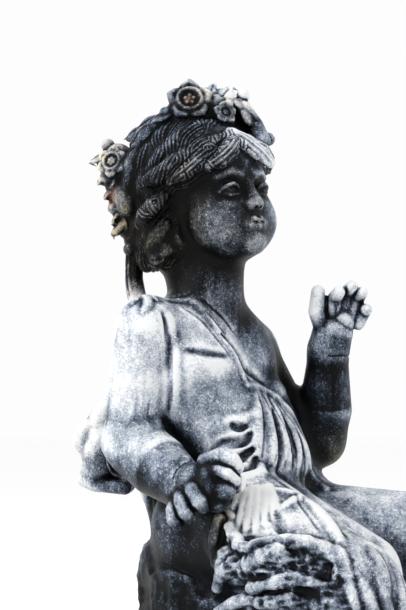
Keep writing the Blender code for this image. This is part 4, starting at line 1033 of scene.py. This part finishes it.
def weatheredLeadWithPaintedShade(name):
    s = leadPatinaAndShade
    material = bpy.data.materials.new(name)
    material.use_nodes = True
    tree = material.node_tree
    tree.nodes.clear()
    place = addNode(tree, "TexCoord").outputs["Object"]
    downward = addNode(tree, "Mapping", {"Vector": place, "Scale": (1, 1, s["streakStretch"])})
    grains = {}
    for kind, (size, detail, rough, swirl, _) in s["noises"].items():
        source = downward if kind == "streak" else place
        grain = addNode(tree, "TexNoise", {"Vector": source, "Scale": 1000 / size, "Detail": detail,
                                           "Roughness": rough, "Distortion": swirl})
        grains[kind] = grain.outputs["Fac"]
    patinaAndShade = addNode(tree, "Attribute", attribute_name="patinaAndShade").outputs["Color"]
    marks = addNode(tree, "SeparateColor", {"Color": patinaAndShade})
    # soot and painted shade in the hollows
    shadeAndSoot = addNode(tree, "Attribute", attribute_name="shadeAndSoot").outputs["Fac"]
    raised = addNode(tree, "Attribute", attribute_name="raised").outputs["Fac"]
    patches = addNode(tree, "Math", {0: grains["grain"], 1: grains["blotch"]}, operation="ADD")
    masks = {}
    for kind, source in (("flecks", grains["speck"]), ("clumps", grains["grain"]), ("loam", patches),
                         ("stain", grains["grain"]), ("shadeAndGrime", shadeAndSoot)):
        low, high, full = s["ranges"][kind]
        masks[kind] = addNode(tree, "MapRange", {"Value": source, "From Min": low, "From Max": high,
                                                 "To Max": full})

    # how pale the surface is: bloom with painted shade and shadow, ridges paler for wear and painted
    # highlight, less what lies deep (soot and painted shade), with blotches and flecks
    pale = marks.outputs["Red"]
    shares = [(shadeAndSoot, s["shadeAndSootPaleness"]), (raised, s["wearAndHighlightPaleness"])]
    for kind, (*_, share) in s["noises"].items():
        if share:
            shares.append((addNode(tree, "Math", {0: grains[kind], 1: 0.5}, operation="SUBTRACT"), share))
    for source, share in shares + [(masks["flecks"], masks["clumps"])]:
        pale = addNode(tree, "Math", {0: source, 1: share, 2: pale}, operation="MULTIPLY_ADD")
    tones = addNode(tree, "ValToRGB", {"Fac": pale})
    for i, (spot, tone) in enumerate(s["tones"]):
        stops = tones.color_ramp.elements
        stop = stops[0] if i == 0 else stops[-1] if i == len(s["tones"]) - 1 else stops.new(spot)
        stop.position, stop.color = spot, linear(tone)
    loam, stain = (
        addNode(tree, "Math", {0: masks[kind], 1: marks.outputs[mark]}, operation="MULTIPLY", use_clamp=True)
        for kind, mark in (("loam", "Green"), ("stain", "Blue"))
    )
    colour = tones.outputs["Color"]
    earthy = addNode(tree, "Mix", {0: 1.0, 6: colour, 7: linear(s["earth"])}, data_type="RGBA",
                     blend_type="MULTIPLY")
    # the last mix lays soot and painted shade into the hollows
    for share, over in ((loam, earthy), (stain, linear(s["rust"])), (masks["shadeAndGrime"], linear(s["sootAndShade"]))):
        colour = addNode(tree, "Mix", {0: share, 6: colour, 7: over}, data_type="RGBA")

    # chalk is rougher than bare lead and hides its metal
    low, high, full = s["ranges"]["chalk"]
    chalk = addNode(tree, "MapRange", {"Value": pale, "From Min": low, "From Max": high, "To Max": full})
    rough = addNode(tree, "Math", {0: grains["speck"], 1: s["speckRoughness"], 2: s["roughness"]},
                    operation="MULTIPLY_ADD")
    rough = addNode(tree, "Math", {0: chalk, 1: s["chalkRoughness"], 2: rough}, operation="MULTIPLY_ADD",
                    use_clamp=True)
    metal = addNode(tree, "MapRange", {"Value": chalk, "To Min": s["metallic"], "To Max": 0.0})
    height = addNode(tree, "Math", {0: grains["speck"], 1: s["speckRelief"], 2: grains["pit"]},
                     operation="MULTIPLY_ADD")
    bump = addNode(tree, "Bump", {"Strength": s["bumpStrength"], "Distance": s["pitDepthMm"] / 1000,
                                  "Height": height})
    shader = addNode(tree, "BsdfPrincipled", {"Base Color": colour, "Roughness": rough, "Metallic": metal,
                                              "Normal": bump, "Specular IOR Level": s["specular"]})
    addNode(tree, "OutputMaterial", {"Surface": shader})
    return material


def paintPatinaAndShade(mesh, paleness, warm, rust, shadeAndSoot, raised):
    colour = np.stack([paleness, warm, rust, np.ones(len(paleness))], 1).astype(np.float32)
    mesh.attributes.new("patinaAndShade", "FLOAT_COLOR", "POINT").data.foreach_set("color", colour.ravel())
    for name, values in (("shadeAndSoot", shadeAndSoot), ("raised", raised)):
        mesh.attributes.new(name, "FLOAT", "POINT").data.foreach_set("value", values.astype(np.float32))


def meshFrom(bm, name):
    mesh = bpy.data.meshes.new(name)
    bm.to_mesh(mesh)
    bm.free()
    return mesh


def addObject(name, data):
    made = bpy.data.objects.new(name, data)
    bpy.context.scene.collection.objects.link(made)
    return made


def joinedSkin(forms):
    skin = throughModifier(heapOf(forms), "REMESH", {"mode": "VOXEL", "voxel_size": girl["roughMm"]})
    setPoints(skin, melt(pointsOf(skin), forms, 3))
    for size in (girl["fineMm"] * girl["betweenShare"], girl["fineMm"]):
        skin = throughModifier(skin, "REMESH", {"mode": "VOXEL", "voxel_size": size})
        points = melt(pointsOf(skin), forms, 2)
        setPoints(skin, points)
        print("clay joined at", size, "mm:", len(points), "points")
    return skin, points


def thinned(skin, name):
    # the underside is cut flat, and the mesh is thinned to the triangles it may have
    bm = bmesh.new()
    bm.from_mesh(skin)
    bpy.data.meshes.remove(skin)
    everything = bm.verts[:] + bm.edges[:] + bm.faces[:]
    bmesh.ops.bisect_plane(bm, geom=everything, plane_co=(0, 0, 0), plane_no=(0, 0, 1), clear_inner=True)
    bmesh.ops.holes_fill(bm, edges=[e for e in bm.edges if e.is_boundary], sides=0)
    bmesh.ops.triangulate(bm, faces=bm.faces[:])
    ratio = girl["faces"] / len(bm.faces)
    mesh = throughModifier(meshFrom(bm, name), "DECIMATE", {"ratio": ratio})
    mesh.name = name
    return mesh


def makeGirl():
    stone = rockForms()
    body = torso() + legs() + arms() + handForms()
    skull = skullForms()
    hairBase = hairMasses()
    rest = body + skull + faceForms() + clothes(body)
    hairy = hairBase + hairForms(skull + hairBase)
    garland = wreathForms()
    forms = stone + rest + hairy + garland
    skin, points = joinedSkin(forms)
    normals = pointsOf(skin, "normal")
    free = depthIn(points, stone + rest + garland) - depthIn(points, hairy)
    onHair = np.clip((free - hair["edgeMm"]) / hair["edgeFadeMm"], 0, 1)
    onHair *= points[:, 2] > girl["hairFromMm"]
    locks = hairLocks(skull + hairy)
    points = combHair(points, normals, locks, onHair)
    points = crumple(crease(points, normals, creases(rest)), normals)
    setPoints(skin, breakRock(points, stone, rest + hairy + garland))
    print("hair combed in", len(locks), "locks, cloth creased, rock broken")
    mesh = thinned(skin, "girlOnRock")
    points, normals = pointsOf(mesh), pointsOf(mesh, "normal")
    paleness, warm, rust, shadeAndSoot, bare = patinaAndShadeOf(points, normals, forms, stone)
    w = weatheringAndShade
    # ridges are made paler: wear, and painted highlight
    wearAndHighlight = w["fineShare"] * reliefOf(mesh, points, normals, w["fineRounds"])
    wearAndHighlight += w["broadShare"] * reliefOf(mesh, points, normals, w["broadRounds"])
    raised = np.clip(wearAndHighlight, -1, 1) * (1 - (1 - w["rockWearAndHighlight"]) * bare)
    # dips are darkened too, as soot and painted shade
    shadeAndSoot = np.clip(shadeAndSoot - np.minimum(raised, 0) * w["dipShare"], 0, 1)
    paintPatinaAndShade(mesh, paleness, warm, rust, shadeAndSoot, raised)
    lowest, highest = (np.array(corner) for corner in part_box("girl_on_rock"))
    setPoints(mesh, np.clip(points * girl["mm"] + (0, 0, girl["baseTop"]), lowest, highest))
    mesh.shade_smooth()
    # the material paints shade into hollows and lightens ridges as painted highlight
    mesh.materials.append(weatheredLeadWithPaintedShade("sandCastLeadWithBloomAndPaintedShade"))
    piece = addObject("girlCasting", mesh)
    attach(piece, "root")
    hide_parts("girl_on_rock")
    print("casting finished:", len(mesh.polygons), "faces")


# Base: a low cast slab with soft edges
baseSlab = {
    "width": 0.36, "length": 0.44, "height": 0.035, "corner": 0.030, "edge": 0.004,
    "longestEdge": 0.012,               # facets are split down to this, so that dents show
    "dent": 0.0005, "dentSpanMm": 38,
    "paleness": 0.42, "blotch": 0.06, "blotchMm": 60, "warm": 0.30, "sootAndShade": 0.35, "sootAndShadeSpanMm": (130, 190),
}


def makeBase():
    b = baseSlab
    bm = bmesh.new()
    size = Matrix.Diagonal((b["width"], b["length"], b["height"], 1))
    bmesh.ops.create_cube(bm, size=1, matrix=Matrix.Translation((0, 0, b["height"] / 2)) @ size)
    upright = [e for e in bm.edges if abs(e.verts[0].co.z - e.verts[1].co.z) > b["height"] / 2]
    bmesh.ops.bevel(bm, geom=upright, offset=b["corner"], segments=12, profile=0.5, affect="EDGES",
                    material=-1)
    rim = [e for e in bm.edges if all(v.co.z > b["height"] * 0.99 for v in e.verts)]
    bmesh.ops.bevel(bm, geom=rim, offset=b["edge"], segments=4, profile=0.5, affect="EDGES", material=-1)
    bmesh.ops.triangulate(bm, faces=bm.faces[:])
    for _ in range(5):
        longEdges = [e for e in bm.edges if e.calc_length() > b["longestEdge"]]
        bmesh.ops.subdivide_edges(bm, edges=longEdges, cuts=1, use_grid_fill=False)
        bmesh.ops.triangulate(bm, faces=bm.faces[:])
    bm.normal_update()
    places = np.array([tuple(v.co) for v in bm.verts])
    dents = (valueNoise(places * 1000, b["dentSpanMm"]) - 1) * 0.5 * b["dent"]
    for v, dent in zip(bm.verts, dents):
        if v.co.z > 0.001:   # the underside stays flat
            v.co += v.normal * float(dent)
    mesh = meshFrom(bm, "lowBase")
    mesh.shade_smooth()
    places = pointsOf(mesh) * 1000
    still = np.zeros(len(places))
    # the slab is painted darker towards its middle, round the rock: soot and painted shade under the figure
    under = np.clip(1.1 - np.linalg.norm(places[:, :2] / b["sootAndShadeSpanMm"], axis=1), 0, 1)
    paleness = b["paleness"] + b["blotch"] * valueNoise(places, b["blotchMm"])
    paintPatinaAndShade(mesh, paleness, b["warm"] + still, still, under * b["sootAndShade"], still)
    mesh.materials.append(weatheredLeadWithPaintedShade("castLeadSlab"))
    piece = addObject("baseSlab", mesh)
    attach(piece, "root")
    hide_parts("low_base")
    print("base finished:", len(mesh.polygons), "faces")


studio = {
    "floorColour": "#fdfdfc", "floorRoughness": 0.9, "floorRadius": 14.0,
    "worldColour": "#fbfbfc", "worldStrength": 1.02,
    "camera": (-1.3141, -0.7323, 0.451), "azimuth": -57.0, "tiltUp": 4.138, "lens": 77.49, "sensor": 36,
    "lampAim": (0, 0.05, 0.5),
    "lamps": [   # place, energy, size: broad and soft, the strongest high on the camera's left
        ((-2.0, 1.1, 2.1), 42, 0.8),
        ((1.0, -2.3, 1.7), 10, 0.8),
        ((1.4, 1.8, 1.8), 10, 1.2),
    ],
}


def makeStudio():
    s = studio
    bm = bmesh.new()
    bmesh.ops.create_circle(bm, cap_ends=True, segments=64, radius=s["floorRadius"])
    floor = addObject("floor", meshFrom(bm, "floor"))
    paper = bpy.data.materials.new("paleStudioPaper")
    paper.use_nodes = True
    shader = paper.node_tree.nodes["Principled BSDF"]
    shader.inputs["Base Color"].default_value = linear(s["floorColour"])
    shader.inputs["Roughness"].default_value = s["floorRoughness"]
    floor.data.materials.append(paper)
    room = bpy.data.worlds.new("paleRoom")
    room.use_nodes = True
    sky = room.node_tree.nodes["Background"].inputs
    sky["Color"].default_value = linear(s["worldColour"])
    sky["Strength"].default_value = s["worldStrength"]
    bpy.context.scene.world = room
    bpy.context.scene.view_settings.view_transform = "Standard"
    for i, (spot, energy, size) in enumerate(s["lamps"]):
        lamp = addObject("softLamp" + str(i), bpy.data.lights.new("softLamp" + str(i), "AREA"))
        lamp.data.energy, lamp.data.size = energy, size
        lamp.location = spot
        lamp.rotation_euler = (Vector(s["lampAim"]) - Vector(spot)).to_track_quat("-Z", "Y").to_euler()
    camera = addObject("photoCamera", bpy.data.cameras.new("photoCamera"))
    camera.data.sensor_width, camera.data.lens = s["sensor"], s["lens"]
    camera.location = s["camera"]
    camera.rotation_euler = (math.radians(90 + s["tiltUp"]), 0, math.radians(s["azimuth"]))
    bpy.context.scene.camera = camera
    print("studio ready")


makeStudio()
makeBase()
makeGirl()
